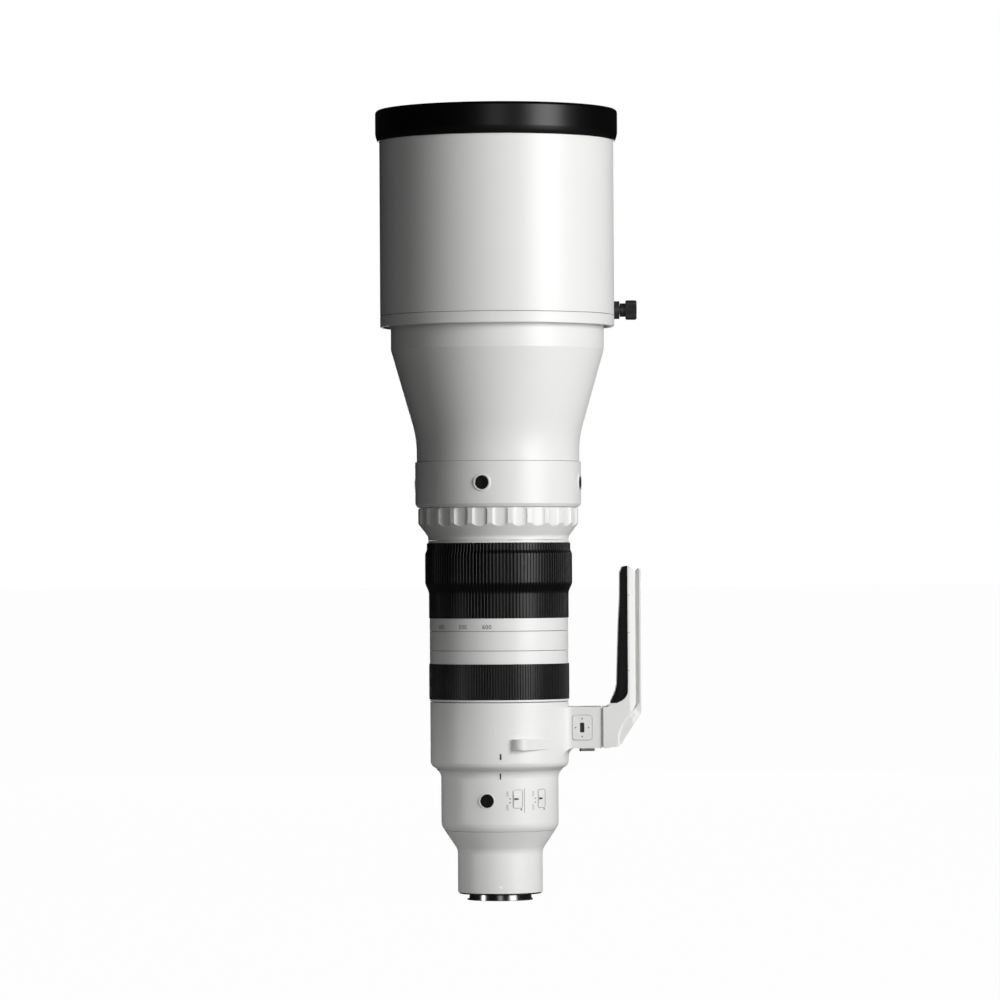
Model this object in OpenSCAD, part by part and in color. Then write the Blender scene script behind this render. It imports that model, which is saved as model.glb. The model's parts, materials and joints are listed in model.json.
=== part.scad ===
// Super-telephoto zoom lens, 300 to 600 mm, with its hood and tripod foot.
// The origin is the centre of the mount's flange face. +Z runs along the optical axis to
// the front, +X points to the tripod foot, and angles round the barrel start at -Y.

/* [Lengths along the axis] */
// Flange face to the seam of the tail barrel
tail_len = 49.7; // [46:0.1:51]
// Rear barrel, from the tail seam to the collar
rear_len = 47.7; // [45:0.1:52]
// Tripod collar
collar_len = 53.4; // [50:0.1:58]
// Focus ring
focus_len = 40.0; // [37:0.1:44]
// Fixed ring between the focus and zoom rings
index_len = 15.3; // [13:0.1:18]
// Zoom ring
zoom_len = 70.9; // [69:0.1:76]
// Function ring
function_len = 25.7; // [25:0.1:29]
// Button barrel
button_len = 36.0; // [33:0.1:38]
// Front barrel, from the button barrel to its open rim
front_len = 128.3; // [124:0.1:134]
// Hood, from its lower edge to its front rim
hood_len = 170.5; // [140:0.5:190]
// How far the hood reaches back over the front barrel
hood_overlap = 22.5; // [20:0.5:28]

/* [Radii of the outside] */
// Neck of the tail barrel
neck_r = 33.3; // [32.8:0.1:34.5]
// Rear barrel
body_r = 46.05; // [45.9:0.05:46.6]
// Tripod collar
collar_r = 54.3; // [53.5:0.1:56]
// White bands of the zoom, focus and index rings
band_r = 54.4; // [54:0.1:54.8]
// Swell of the zoom grip
grip_r = 57.8; // [56.5:0.1:59]
// Function ring over its scallops
function_r = 63.0; // [61:0.1:64]
// Button barrel
button_r = 65.2; // [64.5:0.1:66]
// Slim end of the front barrel
front_neck_r = 63.9; // [63.5:0.1:65]
// Wide end of the front barrel
front_r = 83.7; // [82:0.1:85]
// How far the hood tube stands out over the front barrel
hood_step = 8.3; // [7:0.1:10]
// How far the rubber bumper stands out over the hood tube
bumper_step = 3.2; // [2.5:0.1:5]

/* [Shaping of the outside] */
// Height of the straight neck above the flange
neck_top = 31.4; // [28:0.1:32]
// Height above the flange at which the tail cone reaches the rear barrel
cone_top = 56.6; // [54:0.1:58]
// Radius of both bends of the tail cone
cone_bend_r = 10; // [6:0.5:11]
// Radius of the hollow under the collar
shoulder_r = 8; // [7:0.5:9]
// Height of that hollow
shoulder_h = 6.7; // [5:0.1:6.8]
// Rounding of the collar's lower edge
collar_round_r = 6; // [4:0.5:6.5]
// Angle over which that edge is rounded before it runs straight to the seam
collar_round_angle = 48; // [40:1:52]
// Width of that straight run
collar_run_w = 2.8; // [2:0.1:4]
// Height of that straight run
collar_run_h = 2.0; // [1:0.1:3]
// Height of the straight slim end of the front barrel
flare_start = 7.5; // [5:0.5:12]
// Height of the front barrel's wide straight end
crease_depth = 40.3; // [36:0.1:44]
// Radius of the hollow in the front barrel's flare
flare_r = 80; // [60:1:90]
// Chamfer at the lower edge of the button barrel, along the axis
button_chamfer_h = 2.8; // [1.5:0.1:4]
// The same chamfer, across the axis
button_chamfer_w = 1.9; // [1:0.1:2.2]
// Width of the narrow seams between rings
seam_gap = 0.3; // [0.2:0.05:0.4]

/* [Walls and clearances] */
// Wall of the barrels
wall = 2.5; // [2.2:0.1:2.8]
// Radial clearance of pieces that are fixed together
fit_gap = 0.05; // [0.03:0.01:0.08]
// Radial clearance of rings and cells that move
run_gap = 0.3; // [0.2:0.05:0.4]
// Radial clearance of shafts and rods in their bores
shaft_gap = 0.05; // [0.02:0.01:0.08]

/* [Mount] */
// Radius of the bayonet's flange
flange_r = 30.0; // [29:0.1:30.5]
// Thickness of that flange
flange_t = 2.0; // [1.6:0.1:2.6]
// Outside of the bayonet's tube
bayonet_r = 24.6; // [23.8:0.1:24.8]
// Wall of the bayonet's tube
bayonet_wall = 1.8; // [1.4:0.1:2.2]
// How far the tube reaches into the camera
bayonet_len = 5.0; // [4.5:0.1:6]
// Outside of the bayonet's lugs
lug_r = 26.0; // [25.2:0.1:26.2]
// Thickness of the lugs
lug_t = 1.6; // [1.2:0.1:2]
// Angle that each lug spans
lug_angle = 42; // [30:1:55]
// Outside of the rubber seal
seal_r = 32.2; // [31.5:0.1:32.5]
// Thickness of the rubber seal
seal_t = 1.1; // [0.8:0.1:1.4]
// Radius of the circle of mount screws
mount_screw_pitch_r = 27.2; // [27:0.1:27.6]
// Shank radius of the mount screws
mount_screw_r = 0.9; // [0.7:0.05:1.1]
// Head radius of the mount screws
mount_screw_head_r = 1.6; // [1.4:0.1:1.8]
// Number of mount screws
mount_screws_n = 4; // [4:1:6]
// Number of contact pins
contacts_n = 10; // [8:1:12]
// Radius of a contact pin
contact_pin_r = 0.7; // [0.5:0.05:0.8]
// Height of the tail's inner floor, which the mount screws grip
floor_t = 4.0; // [3:0.1:4.5]

/* [Drop-in filter] */
// Radius of the filter glass
filter_r = 19.5; // [17:0.1:19.8]
// Half width of the filter holder
holder_half_w = 22.5; // [22:0.1:23]
// Thickness of the filter holder
holder_t = 8.0; // [6:0.1:9]
// Thickness of the filter glass
filter_glass_t = 2.0; // [1:0.1:3]
// How far the finger lip of the holder stands out
holder_lip = 2.4; // [1.5:0.1:3.5]

/* [Buttons and switches] */
// Radius of a hold button
button_cap_r = 5.25; // [4.5:0.05:5.6]
// Radius of the raised rim round a hold button
button_rim_r = 7.15; // [6.6:0.05:8]
// How far the rim stands proud of the barrel
button_rim_h = 0.5; // [0.3:0.1:1]
// Angle of the first hold button
button_angle = -11.2; // [-40:0.1:30]
// Height of the hold buttons above the barrel's lower seam
button_height = 19.1; // [15:0.1:22]
// Angle of the round button on the rear barrel
round_button_angle = -12.6; // [-20:0.1:-8]
// Height of the round button above the tail seam
round_button_height = 24.3; // [22:0.1:28]
// Height of the slide switches above the tail seam
switch_height = 25.8; // [24:0.1:28]
// Radius of the round button
round_button_r = 5.2; // [4.5:0.05:5.5]
// Radius of the round button's rim
round_rim_r = 6.3; // [6:0.05:7]
// Angles of the two slide switches on the right-hand side, from -Y
right_switch_angles = [17.7, 44.8];
// Angles of the three slide switches on the left-hand side
left_switch_angles = [150, 178, 206];
// Length of a switch's recess
switch_len = 13.9; // [12:0.1:16]
// Width of a switch's recess
switch_w = 7.0; // [5:0.1:8]
// Depth of a switch's recess
switch_depth = 1.3; // [0.8:0.1:1.5]
// Travel of a slide switch to each side of its middle
switch_travel = 2.6; // [2:0.1:3]
// Height of a switch's knob above the floor of its recess
switch_knob_h = 1.9; // [1.3:0.1:2.4]

/* [Function ring] */
// Number of scallops
scallops_n = 25; // [18:1:28]
// Angle of the first scallop
scallop_angle = 1.2; // [-7:0.1:7]
// Width of a scallop at the ring's surface
scallop_w = 11.9; // [10:0.1:13]
// Radius of a scallop's sides
scallop_side_r = 6; // [4:0.5:8]
// Depth of a scallop
scallop_d = 1.6; // [1:0.1:1.9]
// Height of the scalloped band
scallop_band = 11.6; // [10:0.1:14]
// Radius of the ring's lower lip
function_lip_r = 55.3; // [55:0.1:56.5]
// Height of that lip
function_lip_h = 2.9; // [1.5:0.1:3.5]
// Radius of the sleeve that the function ring turns on
function_sleeve_r = 52.8; // [52.2:0.1:53]

/* [Grips] */
// Number of ribs round the zoom grip
zoom_ribs = 130; // [110:1:140]
// Number of ribs round the focus grip
focus_ribs = 160; // [140:1:170]
// Depth of the grooves between ribs
rib_depth = 0.6; // [0.3:0.05:0.7]
// Share of the pitch that a rib's top takes
rib_share = 0.55; // [0.4:0.01:0.65]
// Height of the focal-length band below the zoom grip
scale_band = 10.0; // [8:0.1:13]
// Radius of the collar-like top of the zoom grip
grip_top_r = 56.4; // [56:0.1:57]
// How far the zoom grip's top lies below the function ring's seam
grip_top_drop = 2.0; // [1.5:0.1:3]
// Radius of the slim lower part of the zoom grip
grip_low_r = 54.9; // [54.6:0.1:55.5]
// Height of the white band above the focus grip
focus_band_top = 10.4; // [8:0.1:12]
// Height of the white band below the focus grip
focus_band_low = 1.8; // [1.5:0.1:3]
// Radius of the focus grip
focus_grip_r = 55.05; // [54.8:0.05:56]
// Radius of the sleeve that both grips are stretched over
grip_seat_r = 53.2; // [52.8:0.1:53.6]

/* [Inner tubes and cam] */
// Outside of the main tube
main_r = 45.5; // [45:0.1:45.6]
// Wall of the main tube
main_wall = 2.0; // [1.6:0.1:2.2]
// Wall of the cam barrel
cam_wall = 2.2; // [1.8:0.1:2.5]
// Turn of the zoom ring from 300 mm to 600 mm
zoom_turn = 80; // [70:1:84]
// Radius of the rollers
roller_r = 2.5; // [2:0.1:2.8]
// Radius of the bearing sleeve that the collar turns on
drum_r = 47.6; // [47.4:0.1:47.8]

/* [Lens groups] */
// Rearward travel of the variator
variator_travel = 34; // [28:1:35]
// Forward travel of the compensator
compensator_travel = 14; // [10:0.5:15]
// Forward travel of the focus cell
focus_travel = 20; // [12:1:21]
// Travel of the stabiliser to each side
stabiliser_travel = 1.5; // [1:0.1:2]
// How far the front lens's edge lies inside the front barrel's surface
front_lens_inset = 5.2; // [5:0.1:7]
// Depth of the front lens's seat behind the front rim
front_seat_depth = 26; // [23:0.5:30]
// Depth of the front retaining ring's foot behind the front rim
front_ring_depth = 15; // [13:0.5:17]
// Radius of the variator's lens
variator_r = 33; // [28:0.5:35]
// Radius of the compensator's lens
compensator_r = 32; // [28:0.5:35]
// Radius of the focus lens
focus_r = 33; // [28:0.5:34]
// Radius of the stabiliser's lens
stabiliser_r = 27; // [24:0.5:29]
// Radius of the rear lens
rear_r = 23; // [20:0.5:26]
// Thickness of the focus lens's edge
focus_lens_t = 5; // [3:0.5:7]
// Radius of the inner face of the linear motor's bars
motor_r = 39; // [38:0.1:40]
// Width of the keys between the stabiliser's frame and cell
key_w = 7; // [5:0.5:8]
// Thickness of those keys
key_t = 3; // [2:0.1:3.5]
// Thickness of the stabiliser's frame
frame_t = 5; // [4.5:0.1:6]
// Height of the stabiliser's cell
shifter_h = 9; // [8:0.5:11]
// Radius of the guide rods
rod_r = 1.5; // [1.2:0.1:1.6]
// Distance of the guide rods from the axis
rod_pitch_r = 40.5; // [40:0.1:40.8]

/* [Collar, arm and foot] */
// Centre of the arm above the collar's lower seam
arm_height = 32.55; // [30:0.05:34]
// Height of the arm along the axis
arm_h = 32.3; // [28:0.1:34]
// Width of the arm across
arm_w = 38; // [34:0.5:42]
// Radius of the bend between the collar and the arm's sides
arm_bend_r = 10; // [6:0.5:14]
// Distance from the axis to the arm's end face
arm_reach = 79.7; // [78:0.1:81]
// Radius of the fillet under the arm
arm_fillet_r = 6.2; // [4:0.1:7]
// Distance from the arm's end face back to the middle of the security plate
plate_inset = 15.1; // [12.5:0.1:15.5]
// Distance from the arm's end face back to the middle of the slider under the arm
click_inset = 10.9; // [9:0.1:12]
// Gap between the arm's end and the foot's edge
foot_gap = 1.4; // [1:0.1:2]
// Distance from the axis to the foot's outer face
foot_reach = 111.1; // [110.5:0.1:112.5]
// Length of the foot along the axis
foot_len = 142.8; // [136:0.5:150]
// Width of the foot's body
foot_w = 42.4; // [40:0.2:44]
// Width of the dovetail at its base
dovetail_w = 38; // [37.8:0.1:38.4]
// Depth of the groove's upper flank
groove_in = 5.6; // [5:0.1:6]
// Depth of the groove's lower flank
groove_out = 2.9; // [2.4:0.1:3.2]
// How far the groove's floor lies inside the dovetail's edge
groove_cut = 2.8; // [2.4:0.1:3]
// Rise of the slanted face that ends the groove near the arm
groove_end = 4.7; // [3:0.1:6]
// Height of the dovetail's straight edge
dovetail_edge = 1.4; // [1:0.1:2]
// Width of the bevels along the foot's lower slope
foot_bevel_w = 6; // [3:0.5:8]
// Depth of those bevels
foot_bevel_d = 6.5; // [3:0.5:8]
// Thickness of the grip pad at its top
pad_t = 1.0; // [0.8:0.1:2]
// Width of the grip pad
pad_w = 37; // [34:0.5:38]
// Radius of the quarter-inch tripod thread
small_thread_r = 3.175; // [3.1:0.005:3.2]
// Radius of the three-eighths tripod thread
large_thread_r = 4.76; // [4.7:0.005:4.8]
// Depth of the tripod threads
thread_depth = 7.5; // [6:0.1:8.5]
// Shank radius of the foot screws
foot_screw_r = 2.5; // [2:0.1:2.6]
// Head radius of the foot screws
foot_screw_head_r = 4.25; // [4:0.05:4.5]
// Width of the security plate along X
plate_w = 16; // [14:0.1:17]
// Length of the security plate along Z
plate_len = 20; // [17:0.1:22]
// How far the security plate stands proud
plate_t = 0.3; // [0.2:0.1:1]
// Width of the security slot
slot_w = 3.3; // [3:0.1:4]
// Length of the security slot
slot_len = 7.5; // [7:0.1:8]
// Foot of the strap lugs above the collar's lower seam
lug_height = 15.7; // [14:0.1:17]
// Height of the strap lugs
lug_h = 10.5; // [9:0.1:12]
// Angle at which the strap lug's face meets the collar
lug_start_angle = 47; // [44:0.5:50]
// Angle at which the slot behind the strap lug's bar ends
lug_end_angle = 16.9; // [15.5:0.1:19]
// Length of the bar's straight part
lug_len = 29.8; // [28:0.1:31]
// Radius of the bar's free end
lug_end_r = 4; // [3:0.1:4.5]
// Angle at which the strap lug's free end lands on the collar
lug_foot_angle = 9.2; // [6:0.2:10]
// Thickness of the strap lug's bar
lug_bar = 2.6; // [2:0.1:3]
// Height of the collar's lock knob above the collar's lower seam
knob_height = 32.2; // [31:0.1:34]
// Radius of the collar's lock knob
knob_r = 8.5; // [7:0.1:9.5]
// Length of the collar's lock knob
knob_len = 11; // [9:0.5:14]
// Travel of the slider under the arm to each side
click_travel = 1.5; // [1:0.1:2]

/* [Hood] */
// Wall of the hood tube
hood_wall = 2.0; // [1.6:0.1:2.2]
// Height of the rubber bumper
bumper_h = 24.5; // [18:0.5:30]
// Thickness of the black lining
lining_t = 1.2; // [0.8:0.1:1.6]
// Height of the clamping ring inside the hood
clamp_h = 16; // [14:0.5:18]
// Height of the hood screw above the hood's lower edge
screw_height = 13; // [12.5:0.5:15]
// Shank radius of the hood screw
hood_screw_r = 3.0; // [2.5:0.1:3.5]
// Radius of the hood screw's neck
screw_neck_r = 5.3; // [4.5:0.1:6]
// Radius of the hood screw's knob
screw_knob_r = 7.7; // [7:0.1:8.5]
// Radius of the boss that carries the hood screw
boss_r = 7.0; // [6.5:0.1:7.5]
// Flutes round a knob
knob_flutes = 30; // [24:1:40]

/* [Hidden] */
$fn = 96;
eps = 0.5;

// Heights of the seams above the flange face
z_rear = tail_len;
z_collar = z_rear + rear_len;
z_focus = z_collar + collar_len;
z_index = z_focus + focus_len;
z_zoom = z_index + index_len;
z_function = z_zoom + zoom_len;
z_button = z_function + function_len;
z_front = z_button + button_len;
z_rim = z_front + front_len;
z_hood = z_rim - hood_overlap;
z_crease = z_rim - crease_depth;
z_hood_top = z_hood + hood_len;
z_bumper = z_hood_top - bumper_h;

// Radii and distances that follow from others
hood_r = front_r + hood_step;
bumper_r = hood_r + bumper_step;
front_lens_r = front_r - front_lens_inset;
plate_x = arm_reach - plate_inset;
click_x = arm_reach - click_inset;

// Inner radii that follow from the walls
neck_bore = neck_r - wall + 0.2;
body_bore = main_r - main_wall;
button_bore = button_r - wall;
drum_bore = main_r + fit_gap;
cam_in = main_r + run_gap;
cam_out = cam_in + cam_wall;
ring_in = cam_out + 3.3;
floor_top = flange_t + floor_t;
main_foot = z_collar + 1.4;

// Angle of the straight part between two bends, for a change of radius dr over a height h
function blend_angle(dr, h, r) = atan2(h, r - dr) - acos(r / norm([r - dr, h]));
cone_angle = blend_angle(body_r - neck_r, cone_top - neck_top, 2 * cone_bend_r);
flare_angle = blend_angle(front_r - front_neck_r, z_crease - z_front - flare_start, flare_r);

// Points along an arc round c, from angle a to angle b
function arc(c, r, a, b, n = 6) =
    [for (i = [0:n]) let(t = a + (b - a) * i / n) c + r * [cos(t), sin(t)]];

// Radius of the tail cone's straight part at height z
function cone_r(z) = body_r - cone_bend_r * (1 - cos(cone_angle))
    - (cone_top - cone_bend_r * sin(cone_angle) - z) * tan(cone_angle);

// Outline of the front barrel's flare, moved in by d
function flare(d) = concat(
    arc([front_neck_r + flare_r, z_front + flare_start], flare_r + d, 180, 180 - flare_angle, 8),
    [[front_r - d, z_crease + d * tan(flare_angle / 2)]]);

// The same points in the other order
function reversed(v) = [for (i = [len(v) - 1:-1:0]) v[i]];

// Radius of a circle whose arc rises by h over a half chord w
function bow_r(w, h) = (w * w + h * h) / (2 * h);

module turned(points) rotate_extrude() polygon(points);

module sleeve(r_in, r_out, low, high) turned([[r_in, low], [r_out, low], [r_out, high], [r_in, high]]);

// A cylinder square to the axis at angle a and height z, between two distances from the axis
module spoke(a, z, r, from, to) rotate(a) translate([0, -from, z]) rotate([90, 0, 0])
    cylinder(h = to - from, r = r);

// Points from the rim to the axis along a lens face that rises by b in the middle
function bow(r, z, b, n = 8) = [for (i = [0:n]) let(x = r * (1 - i / n), f = bow_r(r, abs(b)))
    [x, z + sign(b) * (abs(b) - f + sqrt(f * f - x * x))]];

// A lens element with its rim from low to high; a positive bow is convex
module element(r, low, high, bow_low, bow_high)
    turned(concat(reversed(bow(r, low, -bow_low)), bow(r, high, bow_high)));

// A holder ring whose shelf carries the lens at shelf_z
module cell(r_out, r_lens, low, high, shelf_z) turned([[r_lens - 1.5, low], [r_out, low],
    [r_out, high], [r_lens + fit_gap, high], [r_lens + fit_gap, shelf_z], [r_lens - 1.5, shelf_z]]);

// Tail barrel with the neck, the mount seat and the window of the drop-in filter
holder_low = floor_top + 1.5 + run_gap;
window_half_w = holder_half_w + 1.4;
window_low = holder_low - 0.6;
window_high = holder_low + holder_t + 0.6;
shelf_low = window_high + 0.8;
cell_low = shelf_low + 2;
module tail_barrel() color("white") difference() {
    turned(concat([[bayonet_r + 0.1, flange_t], [flange_r + fit_gap, flange_t],
        [flange_r + fit_gap, seal_t], [neck_r - 0.5, seal_t], [neck_r, seal_t + 0.5]],
        arc([neck_r + cone_bend_r, neck_top], cone_bend_r, 180, 180 - cone_angle),
        [[cone_r(z_rear), z_rear], [cone_r(z_rear) - wall, z_rear],
        [neck_bore, cone_top - 20], [neck_bore, cell_low], [neck_bore - 3, cell_low],
        [neck_bore - 3, shelf_low], [neck_bore, shelf_low], [neck_bore, floor_top],
        [bayonet_r + 0.1, floor_top]]));
    translate([-window_half_w, 15, window_low]) cube([2 * window_half_w, 30, window_high - window_low]);
    for (i = [0:mount_screws_n - 1]) rotate(45 + i * 360 / mount_screws_n)
        translate([mount_screw_pitch_r, 0, 0]) cylinder(h = floor_top + eps, r = mount_screw_r + fit_gap);
}

// Bayonet with its flange, tube and three lugs
module bayonet() color("silver") difference() {
    union() {
        turned([[bayonet_r - bayonet_wall, -bayonet_len], [bayonet_r, -bayonet_len], [bayonet_r, 0],
            [flange_r, 0], [flange_r, flange_t], [bayonet_r - bayonet_wall, flange_t]]);
        for (i = [0:2]) rotate(65 + i * 120) rotate_extrude(angle = lug_angle)
            translate([bayonet_r - 0.6, -bayonet_len]) square([lug_r - bayonet_r + 0.6, lug_t]);
    }
    for (i = [0:mount_screws_n - 1]) rotate(45 + i * 360 / mount_screws_n)
        translate([mount_screw_pitch_r, 0, 0]) {
            translate([0, 0, -eps]) cylinder(h = flange_t + 2 * eps, r = mount_screw_r + fit_gap);
            translate([0, 0, -eps]) cylinder(h = 1 + eps, r = mount_screw_head_r + fit_gap);
        }
}

module mount_seal() color("black") sleeve(flange_r + fit_gap, seal_r, 0, seal_t);

module mount_screws() color("silver") for (i = [0:mount_screws_n - 1])
    rotate(45 + i * 360 / mount_screws_n) translate([mount_screw_pitch_r, 0, 0]) difference() {
        union() {
            translate([0, 0, 0.15]) cylinder(h = 0.85, r = mount_screw_head_r);
            cylinder(h = floor_top - 0.5, r = mount_screw_r);
        }
        translate([0, 0, -eps]) for (a = [0, 90]) rotate(a)
            translate([-mount_screw_r, -0.2, 0]) cube([2 * mount_screw_r, 0.4, 0.9 + eps - 0.3]);
    }

// Block of the electrical contacts, on the foot's side of the mount
block_r_out = bayonet_r - bayonet_wall - fit_gap;
block_r_in = block_r_out - 4;
block_low = -3.4;
contact_span = 44;
module contact_places() for (i = [0:contacts_n - 1])
    rotate(-contact_span / 2 + i * contact_span / (contacts_n - 1))
        translate([(block_r_in + block_r_out) / 2, 0, 0]) children();

module contact_block() color("dimgray") difference() {
    rotate(-contact_span / 2 - 4) rotate_extrude(angle = contact_span + 8)
        translate([block_r_in, block_low]) square([block_r_out - block_r_in, floor_top - block_low]);
    contact_places() translate([0, 0, block_low - eps]) cylinder(h = 3 + eps, r = contact_pin_r + fit_gap);
}

module contact_pins() color("gold") contact_places()
    translate([0, 0, block_low - 0.35]) cylinder(h = 3.3, r = contact_pin_r);

// Light baffle with its framed opening, on the tail's inner floor
module rear_baffle() color("black") translate([0, 0, floor_top]) difference() {
    cylinder(h = 1.5, r = neck_bore - fit_gap);
    translate([-13, -18.5, -eps]) cube([26, 37, 1.5 + 2 * eps]);
}

// Drop-in filter holder, which slides out on the left-hand side
module filter_holder() color("dimgray") difference() {
    union() {
        translate([0, 0, holder_low]) linear_extrude(holder_t) union() {
            circle(holder_half_w);
            translate([-holder_half_w, 0]) square([2 * holder_half_w, neck_bore - 3]);
        }
        intersection() {
            difference() {
                translate([0, 0, window_low + run_gap])
                    cylinder(h = window_high - window_low - 2 * run_gap, r = neck_r);
                translate([0, 0, window_low]) cylinder(h = 20, r = neck_bore - 8);
            }
            translate([-window_half_w + run_gap, 15, 0]) cube([2 * (window_half_w - run_gap), 30, 40]);
        }
        translate([-9, neck_r - 3, holder_low + holder_t / 2 - 1]) cube([18, 3 + holder_lip, 2]);
    }
    translate([0, 0, holder_low - 1]) cylinder(h = holder_t + 2, r = filter_r - 1.2);
    translate([0, 0, holder_low + 2]) cylinder(h = holder_t, r = filter_r + fit_gap);
}

module filter_glass() color("lightblue") translate([0, 0, holder_low + 2])
    cylinder(h = filter_glass_t, r = filter_r);

// Fixed rear lens group in the neck
module rear_cell() color("dimgray")
    cell(neck_bore - fit_gap, rear_r, cell_low, cell_low + 11, cell_low + 2);
module rear_lens() color("lightblue") element(rear_r, cell_low + 2, cell_low + 8, -1.5, 3);

// Ring-shaped circuit board
board_z = z_rear + 3.3;
module main_board() color("darkgreen") difference() {
    sleeve(29, body_bore - fit_gap, board_z, board_z + 1.6);
    for (a = [20, 140, 260]) rotate(a) translate([36, 0, board_z - eps]) cylinder(h = 3, r = 1.6);
}

// Right-hand and left-hand switches and the round button sit in the rear barrel
round_button_z = z_rear + round_button_height;
switch_z = z_rear + switch_height;
switch_floor = body_r - switch_depth;
module switch_recess(a) rotate(a) {
    translate([-switch_w / 2, -body_r - 2, switch_z - switch_len / 2])
        cube([switch_w, 2 + switch_depth, switch_len]);
    translate([-0.9, -body_r - 2, switch_z - switch_travel - 1.4])
        cube([1.8, 2 + wall + 1, 2 * switch_travel + 2.8]);
}

module switch_knob(a) color("whitesmoke") rotate(a) {
    difference() {
        translate([-switch_w / 2 + run_gap, -switch_floor - switch_knob_h, switch_z - 3.6])
            cube([switch_w - 2 * run_gap, switch_knob_h - 0.1, 7.2]);
        for (i = [-2:2]) translate([-switch_w, -switch_floor - switch_knob_h - 0.3, switch_z + i * 1.3 - 0.2])
            cube([2 * switch_w, 0.7, 0.4]);
    }
    translate([-0.6, -switch_floor - 0.2, switch_z - 1]) cube([1.2, switch_floor + 1.2 - body_bore, 2]);
    translate([-2.2, 1 - body_bore, switch_z - 1.5]) cube([4.4, 1, 3]);
}

module rear_barrel() color("white") difference() {
    union() {
        turned(concat([[cone_r(z_rear) - wall, z_rear], [cone_r(z_rear), z_rear]],
            arc([body_r - cone_bend_r, cone_top], cone_bend_r, -cone_angle, 0),
            arc([body_r + shoulder_r, z_collar - shoulder_h], shoulder_r, 180,
                180 - asin(shoulder_h / shoulder_r)),
            [[drum_r, z_collar], [drum_r, z_focus - seam_gap], [drum_bore, z_focus - seam_gap],
            [drum_bore, main_foot], [body_bore, main_foot], [body_bore, board_z],
            [cone_r(z_rear) - wall, board_z]]));
        spoke(round_button_angle, round_button_z, round_rim_r, body_bore + 1, body_r + 0.45);
    }
    spoke(round_button_angle, round_button_z, round_button_r + 0.2, body_bore - 4, body_r + 4);
    for (a = right_switch_angles) switch_recess(a);
    for (a = left_switch_angles) switch_recess(a);
}

module round_button() color("black") {
    spoke(round_button_angle, round_button_z, round_button_r, body_r - 2.3, body_r + 0.25);
    spoke(round_button_angle, round_button_z, round_button_r + 0.9, body_bore - 2.6, body_bore - 1.1);
    spoke(round_button_angle, round_button_z, round_button_r - 0.6, body_bore - 1.6, body_r - 1.6);
}

// Main tube with the straight guide slots of the two moving groups
variator_z = z_function + 7;
compensator_z = z_zoom + 8.8;
cell_half_h = 6;
rod_shelf = variator_z + 10.5;
stabiliser_shelf = main_foot + 20;
iris_shelf = main_foot + 43;
slot_angles = [0, 120, 240];
module guide_slot(low, high) for (a = slot_angles) rotate(a) {
    translate([-roller_r - run_gap, -main_r - 1, low])
        cube([2 * (roller_r + run_gap), main_wall + 2, high - low]);
    for (z = [low, high]) spoke(0, z, roller_r + run_gap, main_r - main_wall - 1, main_r + 1);
}

module main_tube() color("dimgray") difference() {
    union() {
        turned([[body_bore, main_foot], [main_r, main_foot], [main_r, z_front - 4],
            [button_bore - fit_gap, z_front - 4], [button_bore - fit_gap, z_front], [body_bore, z_front]]);
        for (s = [[stabiliser_shelf, 36], [iris_shelf, 41], [rod_shelf, 37.5]])
            sleeve(s[1], body_bore + 1, s[0], s[0] + 2.5);
    }
    guide_slot(variator_z - variator_travel, variator_z);
    guide_slot(compensator_z, compensator_z + compensator_travel);
    for (a = [0, 180]) rotate(a) translate([rod_pitch_r, 0, rod_shelf + 0.5])
        cylinder(h = 4, r = rod_r + fit_gap);
}

// Iris with its blades drawn back into the ring-shaped case
iris_low = iris_shelf + 2.5;
module iris_unit() color("dimgray") {
    turned([[24, iris_low], [body_bore - fit_gap, iris_low], [body_bore - fit_gap, iris_low + 7],
        [40, iris_low + 7], [40, iris_low + 8], [26, iris_low + 8], [24, iris_low + 6]]);
    rotate(30) translate([33, 0, iris_low + 8]) cylinder(h = 6, r = 4.5);
}

// Stabiliser: the frame slides along X, and the cell slides on it along Y
frame_low = stabiliser_shelf + 2.5 + run_gap;
shifter_low = frame_low + frame_t + run_gap;
frame_r = body_bore - stabiliser_travel - 2 * run_gap;
key_r = stabiliser_r + 7;
pocket_half_w = key_w / 2 + stabiliser_travel + run_gap;
module stabiliser_frame() color("gray") difference() {
    sleeve(stabiliser_r + 3, frame_r, frame_low, frame_low + frame_t);
    for (a = [0, 180]) rotate(a) translate([key_r - 1, -pocket_half_w, frame_low + frame_t - 2])
        cube([key_t + 2, 2 * pocket_half_w, 3]);
}
module stabiliser_cell() color("dimgray") {
    cell(frame_r - 2 * stabiliser_travel, stabiliser_r, shifter_low, shifter_low + shifter_h,
        shifter_low + 2);
    for (a = [0, 180]) rotate(a) translate([key_r, -key_w / 2, shifter_low - 1.9]) cube([key_t, key_w, 3]);
}
module stabiliser_lens() color("lightblue") element(stabiliser_r, shifter_low + 2, shifter_low + 6, -1, -1);

// Cells that the cam barrel moves, each with three rollers
module roller_cell(z, r_lens, half_h) color("dimgray") {
    cell(body_bore - run_gap, r_lens, z - half_h, z + half_h, z - half_h + 2);
    for (a = slot_angles) spoke(a, z, roller_r, body_bore - run_gap - 2, cam_out - run_gap);
}
module variator_cell() roller_cell(variator_z, variator_r, cell_half_h);
module variator_lens() color("lightblue")
    element(variator_r, variator_z - cell_half_h + 2, variator_z + cell_half_h - 3, -3, -2);
module compensator_cell() roller_cell(compensator_z, compensator_r, cell_half_h);
module compensator_lens() color("lightblue")
    element(compensator_r, compensator_z - cell_half_h + 2, compensator_z + cell_half_h - 4, -1, 3);

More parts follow.
